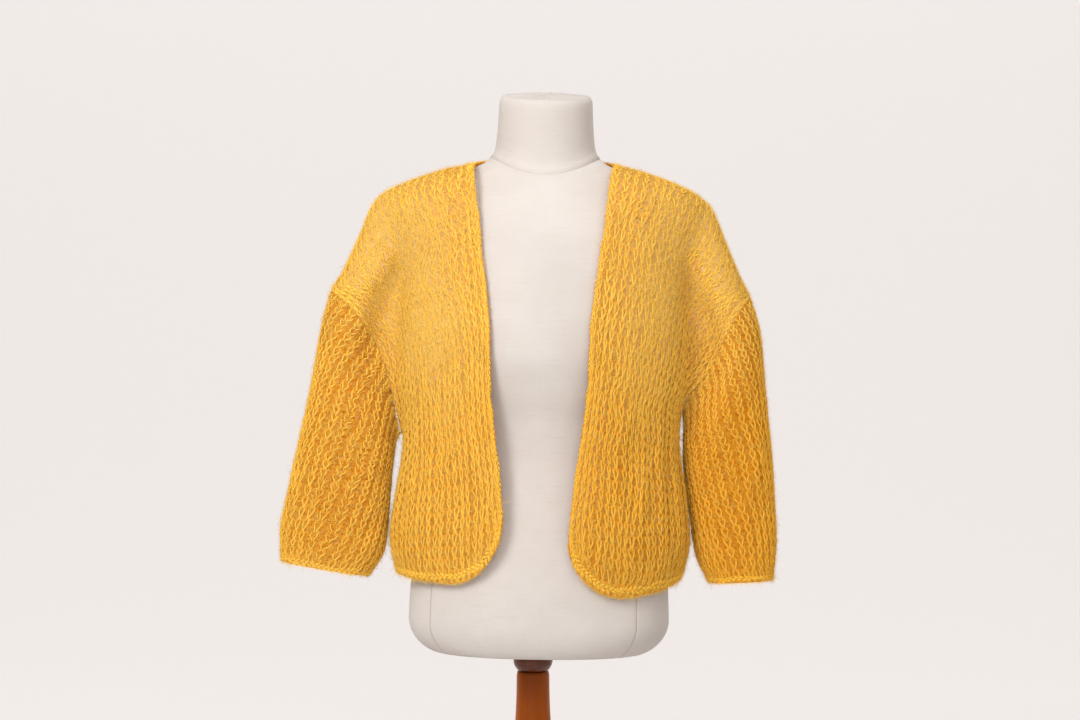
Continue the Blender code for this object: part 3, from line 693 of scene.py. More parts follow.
cloth = {
    "wall": 3.0,
    "clear": 3.2,  # from the linen to the middle of the cloth
    "backHem": 96.0,
    "dropCorner": 465.0,
    "neckSeam": 632.0,
    "neckRise": 15.0,
    "neckShare": 0.25,
    "armHalfWidth": 50.0,
    "valleyShare": 0.4,
    "valleyWidth": 30.0,
    "blend": 3.0,
    "armholeShare": 12 / 22,  # of a side seam wale, from the drop corner to the underarm
    "sleevePower": 2.3,
    "sleeveBlend": 0.3,
    "underarmStep": 3.8,
    "underarmStart": 0.55,
    "levels": (70, 655, 420),  # lowest and highest section, and how many
    "samples": 320,
    "pathSteps": 160,
    "gridRows": 176,
    "halfColumns": 96,
    "sleeveGridRows": 120,
    "calmRounds": 24,
}


def clothDepth(across, height, side, face):
    # The body's superellipse and the arm's lobe, joined by a soft maximum with a valley between them.
    reach, width, power, armDepth = (curveThrough(bodyRows, bodyNames, name, height)
                                     for name in (face, "side", "power", "depth"))
    body = reach * rounded(np.clip(across / width, 0, 1), power)
    outer = curveThrough(outlineRows, sideNames, side, height)
    middle = outer - cloth["armHalfWidth"]
    lobe = rounded(np.clip((across - middle) / (outer - middle), 0, 1), 2.0)
    rise = softStep((across - middle + cloth["valleyWidth"]) / cloth["valleyWidth"])
    arm = armDepth * lobe * (cloth["valleyShare"] + (1 - cloth["valleyShare"]) * rise)
    return (body**cloth["blend"] + arm**cloth["blend"])**(1 / cloth["blend"])


def clothRings(heights, side, face):
    # Half rings of the cloth, [ring, point, (across, depth)], from the front edge or the centre back.
    height = heights[:, None]
    underarm = armholeRows[side][0][0]
    start = curveThrough(edgeRows, sideNames, side, height) if face == "front" else 0 * height
    outline = curveThrough(outlineRows, sideNames, side, height)
    armhole = curveThrough(armholeRows[side], armholeNames, "reach", height)
    end = np.where(height >= cloth["dropCorner"], outline, armhole)
    end = np.where(height <= underarm, curveThrough(bodyRows, bodyNames, "side", height), end)
    start = np.minimum(start, end - 0.01)
    across = start + (end - start) * np.sin(np.linspace(0, math.pi / 2, cloth["samples"]))[None, :]
    depth = clothDepth(across, height + 0 * across, side, face)
    onSeam = (height > cloth["dropCorner"]) | (height < underarm)
    depth[:, -1:] = np.where(onSeam, 0.0, depth[:, -1:])
    return np.stack([across, depth], axis=-1)


def seamShares(levels, side, face):
    # Share of a panel's width at each level of the shoulder seam, by the seam's own length.
    steps = np.linspace(cloth["dropCorner"], cloth["neckSeam"], cloth["samples"])
    reach = curveThrough(outlineRows, sideNames, side, steps)
    run = np.concatenate(([0], np.cumsum(np.hypot(np.diff(steps), np.diff(reach)))))
    share = np.interp(levels, steps, 1 - run / run[-1])
    return cloth["neckShare"] + (1 - cloth["neckShare"]) * share if face == "back" else share


def panelEnds(shares, side, face):
    # Heights of the top and the hem of each wale.
    levels = np.linspace(cloth["dropCorner"], cloth["neckSeam"], cloth["samples"])
    top = np.interp(-shares, -seamShares(levels, side, face), levels)
    hem = hems[side]
    if face == "back":
        rise = cloth["neckRise"] * (1 - (shares / cloth["neckShare"])**2)
        top = np.where(shares < cloth["neckShare"], cloth["neckSeam"] + rise, top)
        return top, cloth["backHem"] + (hem["side"] - cloth["backHem"]) * shares**2
    base = hem["front"] + (hem["side"] - hem["front"]) * shares**2
    turn = np.clip((hem["cornerShare"] - shares) / hem["cornerShare"], 0, 1)
    return top, base + hem["cornerHeight"] * (1 - np.sqrt(1 - turn**2))


def halfPanel(side, face):
    # Outer face of a front or of half the back, [wale, row, xyz]. A wale keeps one share of every ring.
    shares = np.linspace(0, 1, cloth["halfColumns"] + 1)
    top, hem = panelEnds(shares, side, face)
    steps = np.linspace(0, 1, cloth["pathSteps"])
    height = top[:, None] + (hem - top)[:, None] * steps[None, :]**2
    levels = np.linspace(*cloth["levels"])
    even = np.tile(np.linspace(0, 1, cloth["pathSteps"] + 1), (len(levels), 1))
    rings, _ = alongCurves(clothRings(levels, side, face), even)
    reach = np.maximum(seamShares(height, side, face), 1e-6)
    part = np.clip(shares[:, None] / reach, 0, 1)
    part[:, 0] = np.where((face == "back") & (shares < cloth["neckShare"]), part[:, 0], 1.0)
    flat = pick(rings.transpose(1, 0, 2), part, (height - levels[0]) / (levels[-1] - levels[0]))
    path = np.concatenate([flat, height[..., None]], axis=-1)
    rows = np.tile(np.linspace(0, 1, cloth["gridRows"] + 1), (len(shares), 1))
    _, run = alongCurves(path, rows[:, :2])
    spot = np.sqrt(np.clip((top - armholeRows[side][0][0]) / (top - hem), 0, 1)) * (len(steps) - 1)
    low = np.minimum(spot.astype(int), len(steps) - 2)
    index = np.arange(len(shares))
    underarm = (run[index, low] + (run[index, low + 1] - run[index, low]) * (spot - low))[:, None]
    split = cloth["armholeShare"]
    line = np.where(rows < split, rows / split * underarm,
                    underarm + (rows - split) / (1 - split) * (1 - underarm))
    rows = rows + (line - rows) * softStep((shares - 0.5) / 0.5)[:, None]
    points, _ = alongCurves(path, rows)
    hand = -1.0 if side == "right" else 1.0
    forward = -1.0 if face == "front" else 1.0
    return onForm(hand * points[..., 0], forward * points[..., 1], points[..., 2])


def keepOff(grid, target, distance):
    # Points nearer to the form than the distance are moved out to it.
    faces, _ = gridFaces(*grid.shape[:2])
    piece = meshPiece("fitting", grid.reshape(-1, 3), [faces])
    wrap = piece.modifiers.new("off", "SHRINKWRAP")
    wrap.target = target
    wrap.wrap_method = "NEAREST_SURFACEPOINT"
    wrap.wrap_mode = "OUTSIDE"
    wrap.offset = distance * mm
    fitted = piece.evaluated_get(bpy.context.evaluated_depsgraph_get()).data
    points = np.empty(grid.size, dtype=np.float32)
    fitted.vertices.foreach_get("co", points)
    bpy.data.objects.remove(piece, do_unlink=True)
    return points.reshape(grid.shape).astype(float)


# Creases, given one by one: where they lie on the panel, their half length and width in millimetres, the
# angle from the wale in degrees, and how far they stand out, or in where negative.
creaseNames = ("across", "along", "length", "width", "angle", "height")
creases = {
    "front_right": (
        (0.30, 0.74, 120, 9, 2, 2.2),
        (0.47, 0.78, 105, 8, -3, 2.8),
        (0.62, 0.72, 140, 9, 0, 2.2),
        (0.80, 0.80, 90, 11, 3, 3.2),
        (0.71, 0.80, 80, 8, 2, -2.0),
        (0.55, 0.16, 70, 16, -40, 2.0),
        (0.93, 0.30, 85, 9, -8, -2.4),
    ),
    "front_left": (
        (0.28, 0.70, 130, 9, -2, 2.4),
        (0.43, 0.76, 110, 8, 2, 2.6),
        (0.58, 0.70, 150, 8, -2, 2.6),
        (0.73, 0.76, 120, 10, -3, 3.0),
        (0.88, 0.74, 95, 10, 0, 2.4),
        (0.65, 0.74, 100, 7, 0, -2.0),
        (0.92, 0.28, 95, 10, 8, -3.0),
        (0.60, 0.14, 60, 15, 38, 1.8),
    ),
    "back": (
        (0.12, 0.70, 120, 11, 3, 2.8),
        (0.27, 0.76, 140, 10, -2, 3.2),
        (0.44, 0.72, 120, 11, 2, 2.4),
        (0.58, 0.80, 95, 9, 0, 3.0),
        (0.75, 0.72, 140, 12, -3, 2.8),
        (0.90, 0.76, 110, 9, 2, 2.6),
        (0.20, 0.24, 90, 18, 35, 2.6),
        (0.79, 0.22, 80, 17, -38, 2.4),
    ),
    "sleeve_right": (
        (0.22, 0.30, 75, 9, 28, 2.6),
        (0.31, 0.48, 90, 9, 24, 2.8),
        (0.16, 0.62, 70, 9, 22, 2.0),
        (0.36, 0.72, 60, 8, 18, -2.2),
        (0.70, 0.34, 80, 10, 20, 2.6),
        (0.82, 0.60, 70, 9, 24, 2.2),
    ),
    "sleeve_left": (
        (0.79, 0.28, 80, 9, -28, 2.6),
        (0.70, 0.46, 95, 9, -24, 3.0),
        (0.86, 0.64, 60, 8, -20, 2.0),
        (0.64, 0.70, 70, 8, -16, -2.4),
        (0.30, 0.36, 80, 10, -22, 2.6),
        (0.18, 0.62, 70, 9, -20, 2.2),
    ),
}


def addCreases(name, grid, wrap=False):
    # Each crease is a ridge or trough with a bell section, which fades out towards its two ends.
    columns, rows = grid.shape[:2]
    wide = np.linalg.norm(np.diff(grid, axis=0), axis=2).sum(axis=0).mean() / mm
    tall = np.linalg.norm(np.diff(grid, axis=1), axis=2).sum(axis=1).mean() / mm
    u, v = shareGrid(columns, rows)
    rise = np.zeros((columns, rows))
    for crease in creases[name]:
        value = dict(zip(creaseNames, crease))
        du = u - value["across"]
        du = (du - np.round(du) if wrap else du) * wide
        dv = (v - value["along"]) * tall
        turn = math.radians(value["angle"])
        beside = du * math.cos(turn) + dv * math.sin(turn)
        lengthwise = dv * math.cos(turn) - du * math.sin(turn)
        fade = np.clip(1 - (lengthwise / value["length"])**2, 0, 1)**2
        rise += value["height"] * np.exp(-(beside / value["width"])**2) * fade
    edge = 1.0 if wrap else softStep(u / 0.05) * softStep((1 - u) / 0.05)
    rise *= edge * softStep(v / 0.08)
    return grid + outwardNormals(grid, wrap) * (rise * mm)[..., None]


def outwardNormals(grid, wrap=False):
    # Normals that point away from the middle of a sleeve, or from the upright axis of the form.
    normals = normalsOf(grid, wrap)
    middle = grid.mean(axis=0, keepdims=True) if wrap else grid * (0, 0, 1)
    return normals * np.sign((normals * (grid - middle)).sum())


def panelGrid(side, face):
    # The middle of the wall: half its thickness inside the outer face.
    if side:
        outer = calm(halfPanel(side, face), cloth["calmRounds"])
    else:
        outer = np.concatenate([halfPanel("right", face)[::-1], halfPanel("left", face)[1:]])
        outer = calm(outer, cloth["calmRounds"])
    return keepOff(outer - outwardNormals(outer) * (cloth["wall"] / 2 * mm), torso, cloth["clear"])


def makeGrids():
    # Fronts and back share their side seams, and each sleeve starts from the armhole that they leave.
    grids = {"back": panelGrid(None, "back")}
    last = int(cloth["armholeShare"] * cloth["gridRows"])
    for side, hand, edge in (("right", -1, 0), ("left", 1, -1)):
        front, back = panelGrid(side, "front"), grids["back"]
        front[-1, last:] = back[edge, last:] = (front[-1, last:] + back[edge, last:]) / 2
        front[-1, 0] = back[edge, 0] = (front[-1, 0] + back[edge, 0]) / 2
        grids["front_" + side] = front
        sleeve = sleeveGrid(side, hand, front[-1], back[edge], last)
        grids["sleeve_" + side] = calm(sleeve, cloth["calmRounds"], wrap=True)
    for name, grid in grids.items():
        sleeve = name.startswith("sleeve")
        grid = addCreases(name, grid, sleeve)
        grids[name] = grid if sleeve else keepOff(grid, torso, cloth["clear"])
    return grids


def sleeveGrid(side, hand, front, back, last):
    # The armhole loop runs out into plain sections: superellipses along the line from the outer to the
    # inner edge. Near the underarm the loop steps out beside the body.
    loop = np.concatenate([front[:last + 1], back[last - 1:0:-1]])
    shares = np.concatenate([np.arange(last + 1), np.arange(last - 1, 0, -1)]) / last
    near = softStep((shares - cloth["underarmStart"]) / (1 - cloth["underarmStart"]))
    loop[:, 0] += hand * cloth["underarmStep"] * mm * near
    rows = sleeveRows[side]
    share = np.linspace(0, 1, cloth["sleeveGridRows"] + 1)[None, :]
    value = {name: curveThrough(rows, sleeveNames, name, share * rows[-1][0]) for name in sleeveNames[1:]}
    turn = fullTurn(2 * last)
    swing = np.sign(np.cos(turn)) * np.abs(np.cos(turn))**(2 / cloth["sleevePower"])
    wide = value["outer"] - value["inner"]
    tall = value["outerHeight"] - value["innerHeight"]
    shrink = (1 - cloth["wall"] / np.hypot(wide, tall)) / 2
    across = (value["outer"] + value["inner"]) / 2 + wide * shrink * swing
    height = (value["outerHeight"] + value["innerHeight"]) / 2 + tall * shrink * swing
    half = cloth["wall"] / 2
    reach = np.where(np.sin(turn) > 0, half - value["front"], value["back"] - half)
    depth = reach * np.abs(np.sin(turn))**(2 / cloth["sleevePower"])
    plain = onForm(hand * across, depth, height)
    mix = softStep(share / cloth["sleeveBlend"])[..., None]
    grid = (loop[:, None] + plain - plain[:, :1]) * (1 - mix) + plain * mix
    return np.concatenate([grid, grid[:1]])


grids = makeGrids()
print("yarn and mohair")

yarn = {
    "radius": 1.14,
    "slub": 0.35,  # share by which the yarn's thickness wanders
    "finer": 0.25,  # and by which it is finer where the cloth is stretched
    "lift": 0.72,  # how far a loop reaches up and down, in courses
    "spread": 0.23,  # how far a loop opens at its head and foot, in wales
    "gather": -0.1,  # how far its legs are drawn together, in wales
    "depth": 1.3,  # how far its legs stand out and its bows lie back
    "wander": (0.22, 0.2),  # slow drift across and along, in stitches
    "jitter": (0.06, 0.09),  # and its quick part
    "ladderWander": 0.1,  # unevenness of the wales' widths
    "sleeveLadders": 0.5,  # share of that, and of the drift, on a sleeve
    "sleeveDrift": 0.6,
    "twist": -0.8,  # how far the wales wind round a sleeve, in radians
    "bunch": 0.8,
    "deepen": 0.35,  # share of a piece's length over which its painted shade comes in
}
# Each piece's pale level, and its darkening from a share of its length down given as amount and start, are
# painted light and painted shade.
frontKnit = {"wales": 22, "courses": 37, "beat": 11, "sides": 5, "bent": 3700, "straight": 10000,
             "tight": 0.34, "pale": 1.0}
sleeveKnit = {"wales": 27, "courses": 27, "beat": 10, "sides": 5, "bent": 3200, "straight": 9500,
              "tight": 0.0}
stitches = {  # wales and courses, points and sides of a stitch's yarn, bent and straight hairs
    "front_right": {**frontKnit, "deeper": (0.35, 0.4), "seed": 11},
    "front_left": {**frontKnit, "deeper": (0.6, 0.35), "seed": 12},
    "back": {"wales": 46, "courses": 38, "beat": 8, "sides": 4, "bent": 2200, "straight": 7000,
             "tight": 0.0, "pale": 1.0, "deeper": (0.3, 0.4), "seed": 13},
    "sleeve_right": {**sleeveKnit, "pale": 1.0, "deeper": (0.3, 0.0), "seed": 14},
    "sleeve_left": {**sleeveKnit, "pale": 0.9, "deeper": (0.7, 0.0), "seed": 15},
}
bentHair = {"short": 6.0, "long": 16.0, "radius": 0.22, "lift": 0.4, "start": 1.6, "low": 1.35}
kneeHair = {"curl": 0.5, "place": 0.5, "width": 0.75}
straightHair = {"short": 3.0, "long": 8.0, "radius": 0.18, "lift": 0.45, "start": 1.6, "low": 1.2}
plait = {
    "strands": 3,
    "wave": 20.0,
    "beat": 12,  # points on each wave
    "lift": 2.0,
    "radius": 1.5,
    "full": 3.4,  # half width of the edge at which the strands have their full radius
    "finest": 0.5,
    "sides": 5,
    "rough": 0.35,
    "wander": 1.0,
    "changes": (90, 60),  # how often both change, on each metre
    "draws": 900,
}
knots = {  # place, and the coil's turns, rise, reach and yarn
    "front_right": {"place": (0.012, 0.125, 3.0), "turns": 2.6, "rise": 0.5, "reach": 3.2, "radius": 1.7,
                    "points": 40, "sides": 6},
}
frontEdge = (((0.007, 0, 1.0), (0.007, 0.97, 1.3), (0.03, 0.984, 3.2), (1, 0.984, 4.0)),)
cuff = (((0, 0.985, 2.8), (1, 0.985, 2.8)),)
edgings = {  # corners of each plaited edge: shares across and along the piece, and half width
    "front_right": frontEdge,
    "front_left": frontEdge,
    "back": (((0, 0.987, 4.2), (1, 0.987, 4.2)), ((0.36, 0.004, 1.8), (0.64, 0.004, 1.8))),
    "sleeve_right": cuff,
    "sleeve_left": cuff,
}
bloom = {  # "edge" is how much denser the bloom is near the edges; each has an amount and a reach
    "edge": 0.15,
    "hem": (1.0, 0.09),
    "top": (0.6, 0.08),
    "side": (0.6, 0.1),
    "front": (0.5, 0.07),
    "dense": {"front_right": 0.66, "front_left": 0.62, "back": 0.65,
              "sleeve_right": 0.88, "sleeve_left": 0.95},
}
veil = {  # the hairs' line is a share of the noise; cover is between the hairs
    "sheets": ((2.6, 2.5, 0.9), (4.8, 4.5, 0.4)),  # height, how far it passes the open edges, and share
    "line": 0.045,
    "cover": 0.04,
    "hair": 0.26,
    "stretched": 0.25,  # more cover where the cloth is stretched
    "edges": 0.12,  # and near the open edges
    "hem": (1.0, 0.06),  # amount and reach
    "front": (0.6, 0.05),
}
palePlaces = {  # where the cloth is stretched, its yarn finer and the linen behind painted as lit: across, along, width, height and how much
    "front_right": ((0.55, 0.2, 0.4, 0.22, 1.0), (0.42, 0.42, 0.28, 0.12, 0.6), (0.3, 0.6, 0.2, 0.12, 0.3)),
    "front_left": ((0.38, 0.34, 0.22, 0.12, 0.6), (0.6, 0.1, 0.5, 0.18, 0.8), (0.32, 0.52, 0.18, 0.1, 0.4)),
    "back": ((0.28, 0.2, 0.12, 0.12, 0.5), (0.72, 0.2, 0.12, 0.12, 0.5)),
}


class Panel:
    # A piece of knitting: its middle surface, its normals and the places of its stitches.
    def __init__(self, name):
        self.name = name
        self.grid = grids[name]
        self.wrap = name.startswith("sleeve")
        self.normals = outwardNormals(self.grid, self.wrap)
        self.size = stitches[name]
        self.wales, self.courses = self.size["wales"], self.size["courses"]
        self.rng = np.random.default_rng(self.size["seed"])
        self.ladders = self.rng.normal(0, yarn["ladderWander"], self.wales * 2 + 1)
        self.ladders[[0, -1]] = 0
        self.drifts = [self.rng.normal(0, 1, (self.wales // step + 2, self.courses // step + 2, 2)) * amount
                       for step, amount in ((2, yarn["wander"]), (1, yarn["jitter"]))]
        if self.wrap:
            lengths = np.linalg.norm(np.diff(self.grid, axis=1), axis=2).sum(axis=1)
            self.bunch = (lengths.max() / lengths)**yarn["bunch"]
            self.ladders *= yarn["sleeveLadders"]
            for drift in self.drifts:
                drift *= yarn["sleeveDrift"]
                drift[-1] = drift[0]

    def shares(self, wale, course):
        # Share across and along the panel of a place counted in wales and in courses from the hem.
        field = sum(pick(drift, wale / self.wales, course / self.courses, self.wrap) for drift in self.drifts)
        inside = 1.0 if self.wrap else np.clip(np.minimum(wale, self.wales - wale), 0, 1)
        high = np.clip(np.minimum(course, self.courses - course), 0, 1)
        across = wale + np.interp(wale * 2, np.arange(len(self.ladders)), self.ladders)
        u = (across + field[..., 0] * inside) / self.wales
        v = 1 - (course + field[..., 1] * high) / self.courses
        if self.wrap:
            # Stitches bunch where the sleeve is short, at the underarm.
            bunch = np.interp(np.mod(u, 1), np.linspace(0, 1, len(self.bunch)), self.bunch)
            v = np.clip(v, 0, 1)**bunch
            return u + yarn["twist"] * v / tau, v
        tight = self.size["tight"]
        return u * (1 - tight) + np.clip(u, 0, 1)**(1 + tight * 1.5) * tight, v

    def stretch(self, u, v):
        # How far the cloth is stretched, and painted pale as lit linen seen through it, from its bell-shaped
        # places.
        total = np.zeros(np.broadcast(u, v).shape)
        for across, along, wide, tall, depth in palePlaces.get(self.name, ()):
            total += depth * np.exp(-((u - across) / wide)**2 - ((v - along) / tall)**2)
        return np.clip(total, 0, 1)

    def paintedLightness(self, u, v):
        # Painted light and shade: the knit is painted paler at the top, as if light came through it, and
        # painted deeper from a given height down, each piece to its own level.
        amount, start = self.size["deeper"]
        return self.size["pale"] * (1 - amount * softStep((v - start) / yarn["deepen"])) + 0 * u

    def at(self, wale, course, height):
        # Point over the cloth's middle and the normal there.
        return self.spot(*self.shares(wale, course), height)

    def spot(self, u, v, height):
        normal = unit(pick(self.normals, u, v, self.wrap))
        return pick(self.grid, u, v, self.wrap) + normal * np.asarray(height)[..., None] * mm, normal


def tubes(paths, normals, radius, sides, front, pale):
    # Round yarn [strand, point, xyz]: a circle on the cloth's normal and the way beside it, carried along.
    tangent = unit(np.gradient(paths, axis=1))
    beside = unit(np.cross(normals, tangent))
    turn = fullTurn(sides)
    ring = beside[:, :, None] * np.cos(turn) + np.cross(tangent, beside)[:, :, None] * np.sin(turn)
    points = paths[:, :, None] + ring * radius[..., None, None] * mm
    run = lengthAlong(paths)
    strands, count = paths.shape[:2]
    c, k, s = np.meshgrid(np.arange(strands), np.arange(count - 1), np.arange(sides), indexing="ij")
    first, after = (c * count + k) * sides, (s + 1) % sides
    faces = np.stack([first + s, first + after, first + sides + after, first + sides + s], axis=-1)
    base = np.arange(strands)[:, None] * count * sides
    caps = np.concatenate([base + np.arange(sides)[::-1], base + (count - 1) * sides + np.arange(sides)])
    around = np.stack([s, s + 1, s + 1, s], axis=-1) / sides
    along = np.stack([run[c, k], run[c, k], run[c, k + 1], run[c, k + 1]], axis=-1)
    uv = np.concatenate([np.stack([along, around], axis=-1).reshape(-1, 2), np.zeros((caps.size, 2))])
    # Carried for the painted light and shade: each point's share forward, and the piece's painted lightness.
    tones = {"front": np.repeat(front.ravel(), sides),
             "pale": np.repeat(np.broadcast_to(pale, front.shape).ravel(), sides)}
    return points.reshape(-1, 3), [faces.reshape(-1, 4), caps], uv, tones


def makeYarn(panel):
    # A course swings up and down once on every wale: its height is a cosine. A double sine opens each loop
    # at its head and foot, a plain one draws its legs together, and both bows lie behind the legs.
    t = np.linspace(-math.pi, tau * panel.wales - math.pi, panel.wales * panel.size["beat"] + 1)
    wale = (t + math.pi) / tau + yarn["spread"] * np.sin(2 * t) + yarn["gather"] * np.sin(t)
    rows = np.arange(panel.courses)[:, None]
    course = np.clip(rows + 0.5 + yarn["lift"] * np.cos(t), 0.05, panel.courses - 0.05)
    wale = np.clip(wale + 0 * course, 0, panel.wales)
    leg = -np.cos(2 * t) + 0 * course
    paths, normals = panel.at(wale, course, yarn["depth"] * leg)
    u, v = wale / panel.wales, course / panel.courses
    slub = pick(panel.rng.normal(0, 0.6, (panel.wales * 2, panel.courses, 1)), u, v)[..., 0]
    thick = (1 + yarn["slub"] * np.clip(slub, -1, 1)) * (1 - yarn["finer"] * panel.stretch(u, 1 - v))
    # Legs in front are painted lit and bows behind painted shaded, through their share forward; the piece's
    # painted lightness comes along.
    return meshPiece("yarn_" + panel.name, *tubes(paths, normals, yarn["radius"] * thick, panel.size["sides"],
                                                  leg / 2 + 0.5, panel.paintedLightness(u, 1 - v)))


def edgePath(panel, corners):
    # Even points along an edge, with the cloth's normal, the way beside it and its half width there.
    corners = np.array(corners, float)
    steps = np.linspace(0, 1, 300, endpoint=False)[:, None]
    shares = np.concatenate([a + (b - a) * steps for a, b in zip(corners, corners[1:])] + [corners[-1:]])
    run = lengthAlong(panel.spot(shares[:, 0], shares[:, 1], np.zeros(len(shares)))[0])
    even = np.linspace(0, run[-1], int(run[-1] / mm / plait["wave"] * plait["beat"]))
    u, v, wide = (np.interp(even, run, shares[:, axis]) for axis in (0, 1, 2))
    middle, normal = panel.spot(u, v, np.zeros(len(u)))
    return even, middle, normal, unit(np.cross(normal, np.gradient(middle, axis=0))), wide


def makeKnot(panel, knot):
    # A short coil of yarn: circles that rise along the normal.
    middle, normal = panel.spot(*np.array(knot["place"])[:, None])
    turn = np.linspace(0, knot["turns"] * tau, knot["points"])[:, None]
    up = np.array((0.0, 0.0, 1.0))
    rise = (turn / tau - knot["turns"] / 2) * knot["rise"]
    coil = np.cross(normal, up) * np.cos(turn) + up * np.sin(turn) + normal * rise
    coil = (middle + coil * knot["reach"] * mm)[None]
    radius = knot["radius"] + 0 * coil[..., 0]
    # The coil is painted mostly lit, like the legs in front.
    return tubes(coil, normal + 0 * coil, radius, knot["sides"], 0.7 + 0 * radius, 1.0)


def makePlait(panel):
    # The strands swing from side to side in a sine, evenly apart in it, and twice as often up and down.
    blocks = []
    draws = np.arange(plait["draws"])
    strands = np.arange(plait["strands"])[:, None] / plait["strands"]
    for corners in edgings[panel.name]:
        even, middle, normal, side, wide = edgePath(panel, corners)
        phase = even / mm / plait["wave"] * tau + strands * tau
        rough, stray = (np.interp(even * change, draws, panel.rng.normal(0, amount, plait["draws"]))
                        for change, amount in zip(plait["changes"], (1, plait["wander"])))
        swing = np.sin(phase) * wide * (1 + plait["rough"] * rough) + stray
        rise = np.sin(2 * phase) * plait["lift"]
        paths = middle + (side * swing[..., None] + normal * rise[..., None]) * mm
        thick = plait["radius"] * np.clip(wide / plait["full"], plait["finest"], 1)
        # The strands' crests are painted lit and their troughs shaded, at the piece's painted pale level.
        blocks.append(tubes(paths, normal + 0 * paths, thick + 0 * phase, plait["sides"],
                            rise / plait["lift"] / 2 + 0.5, panel.size["pale"]))
    if panel.name in knots:
        blocks.append(makeKnot(panel, knots[panel.name]))
    points, _, uvs, tones = zip(*blocks)
    starts = np.cumsum([0] + [len(block) for block in points])
    faces = [face + start for block, start in zip(blocks, starts) for face in block[1]]
    tones = {label: np.concatenate([tone[label] for tone in tones]) for label in ("front", "pale")}
    return meshPiece("plait_" + panel.name, np.concatenate(points), faces, np.concatenate(uvs), tones)


def hairRoots(panel, count, size):
    # Roots on the yarn, and directions that lie low over the cloth: a circle on it with a little lift.
    rng = panel.rng
    wale = rng.uniform(0, panel.wales, count)
    course = panel.courses * rng.uniform(0, 1, count)**size["low"]
    root, normal = panel.at(wale, course, rng.uniform(-size["start"], size["start"], count))
    first = unit(np.cross(normal, (0.3, 0.5, 0.8)))
    second = np.cross(normal, first)
    angle = rng.uniform(0, tau, count)[:, None]
    lift = rng.normal(size["lift"] / 2, size["lift"], count)[:, None]
    way = unit(first * np.cos(angle) + second * np.sin(angle) + normal * lift)
    bend = unit(rng.normal(0, 1, (count, 3)))
    beside = unit(np.cross(way, bend))
    turn = np.arange(3)[:, None] * tau / 3
    ring = beside[:, None] * np.cos(turn) + np.cross(way, beside)[:, None] * np.sin(turn)
    long = rng.uniform(size["short"], size["long"], count)[:, None] * mm
    return root, way, bend, ring * size["radius"] * mm, long


def makeHairs(panel):
    # Bent hairs have a ring at their root and at their knee; straight ones are plain spikes.
    root, way, bend, ring, long = hairRoots(panel, panel.size["bent"], bentHair)
    tip = root + (way + bend * kneeHair["curl"]) * long
    knee = root + way * long * kneeHair["place"]
    bent = np.concatenate([root[:, None] + ring, knee[:, None] + ring * kneeHair["width"], tip[:, None]],
                          axis=1)
    root, way, bend, ring, long = hairRoots(panel, panel.size["straight"], straightHair)
    spike = np.concatenate([root[:, None] + ring, (root + way * long)[:, None]], axis=1)
    side, after = np.arange(3), np.array((1, 2, 0))
    base = np.arange(len(bent))[:, None] * 7
    quads = base[..., None] + np.stack([side, after, 3 + after, 3 + side], axis=-1)
    tips = base[..., None] + np.stack([3 + side, 3 + after, 6 + 0 * side], axis=-1)
    start = len(bent) * 7 + np.arange(len(spike))[:, None] * 4
    spikes = start[..., None] + np.stack([side, after, 3 + 0 * side], axis=-1)
    feet = np.concatenate([base + side[::-1], start + side[::-1]])
    points = np.concatenate([bent.reshape(-1, 3), spike.reshape(-1, 3)])
    return meshPiece("hairs_" + panel.name, points,
                     [quads.reshape(-1, 4), tips.reshape(-1, 3), spikes.reshape(-1, 3), feet])


def fades(share, amount, reach):
    # Falls off exponentially from an edge.
    return amount * np.exp(-share / reach)


def makeBloom(panel):
    # Thin bloom of mohair that fills the cloth between the yarns. It is denser near the edges and the
    # armholes, and pale where the cloth is stretched over the chest, with the linen behind painted as lit; it
    # carries the piece's painted lightness too.
    grid = panel.grid[::2, ::4]
    u, v = shareGrid(*grid.shape[:2])
    edge = fades(1 - v, *bloom["hem"]) + fades(v, *bloom["top"])
    if not panel.wrap:
        edge += fades(1 - u, *bloom["side"]) + fades(u, *bloom["front"]) * (panel.name != "back")
    dense = np.clip(bloom["dense"][panel.name] + bloom["edge"] * edge, 0, 1)
    faces, shares = gridFaces(*grid.shape[:2])
    return meshPiece("bloom_" + panel.name, grid.reshape(-1, 3), [faces], shares.reshape(-1, 2),
                     {"dense": dense.ravel(), "stretch": panel.stretch(u, v).ravel(),
                      "pale": panel.paintedLightness(u, v).ravel()})


def makeVeil(panel, label, height, fringe, share):
    # Haze of the outermost hairs: a sheet over the yarn that runs past the open edges and fades out there.
    grid = (panel.grid + panel.normals * height * mm)[::2, ::8]
    u, v = shareGrid(*grid.shape[:2])
    front = panel.name.startswith("front")
    edge = fades(1 - v, *veil["hem"]) + (fades(u, *veil["front"]) if front else 0)
    cover = share * (veil["stretched"] * panel.stretch(u, v) + veil["edges"] * edge)
    border = ((int(front), 0), (0, 1))
    tones = {"cover": np.pad(cover, border), "fade": np.pad(np.full(u.shape, share), border),
             "pale": np.pad(panel.paintedLightness(u, v), border, mode="edge")}
    grid = np.concatenate([grid, grid[:, -1:] + unit(grid[:, -1:] - grid[:, -2:-1]) * fringe * mm], axis=1)
    if front:
        grid = np.concatenate([grid[:1] + unit(grid[:1] - grid[1:2]) * fringe * mm, grid])
    faces, shares = gridFaces(*grid.shape[:2])
    return meshPiece(label + panel.name, grid.reshape(-1, 3), [faces], shares.reshape(-1, 2),
                     {name: values.ravel() for name, values in tones.items()})


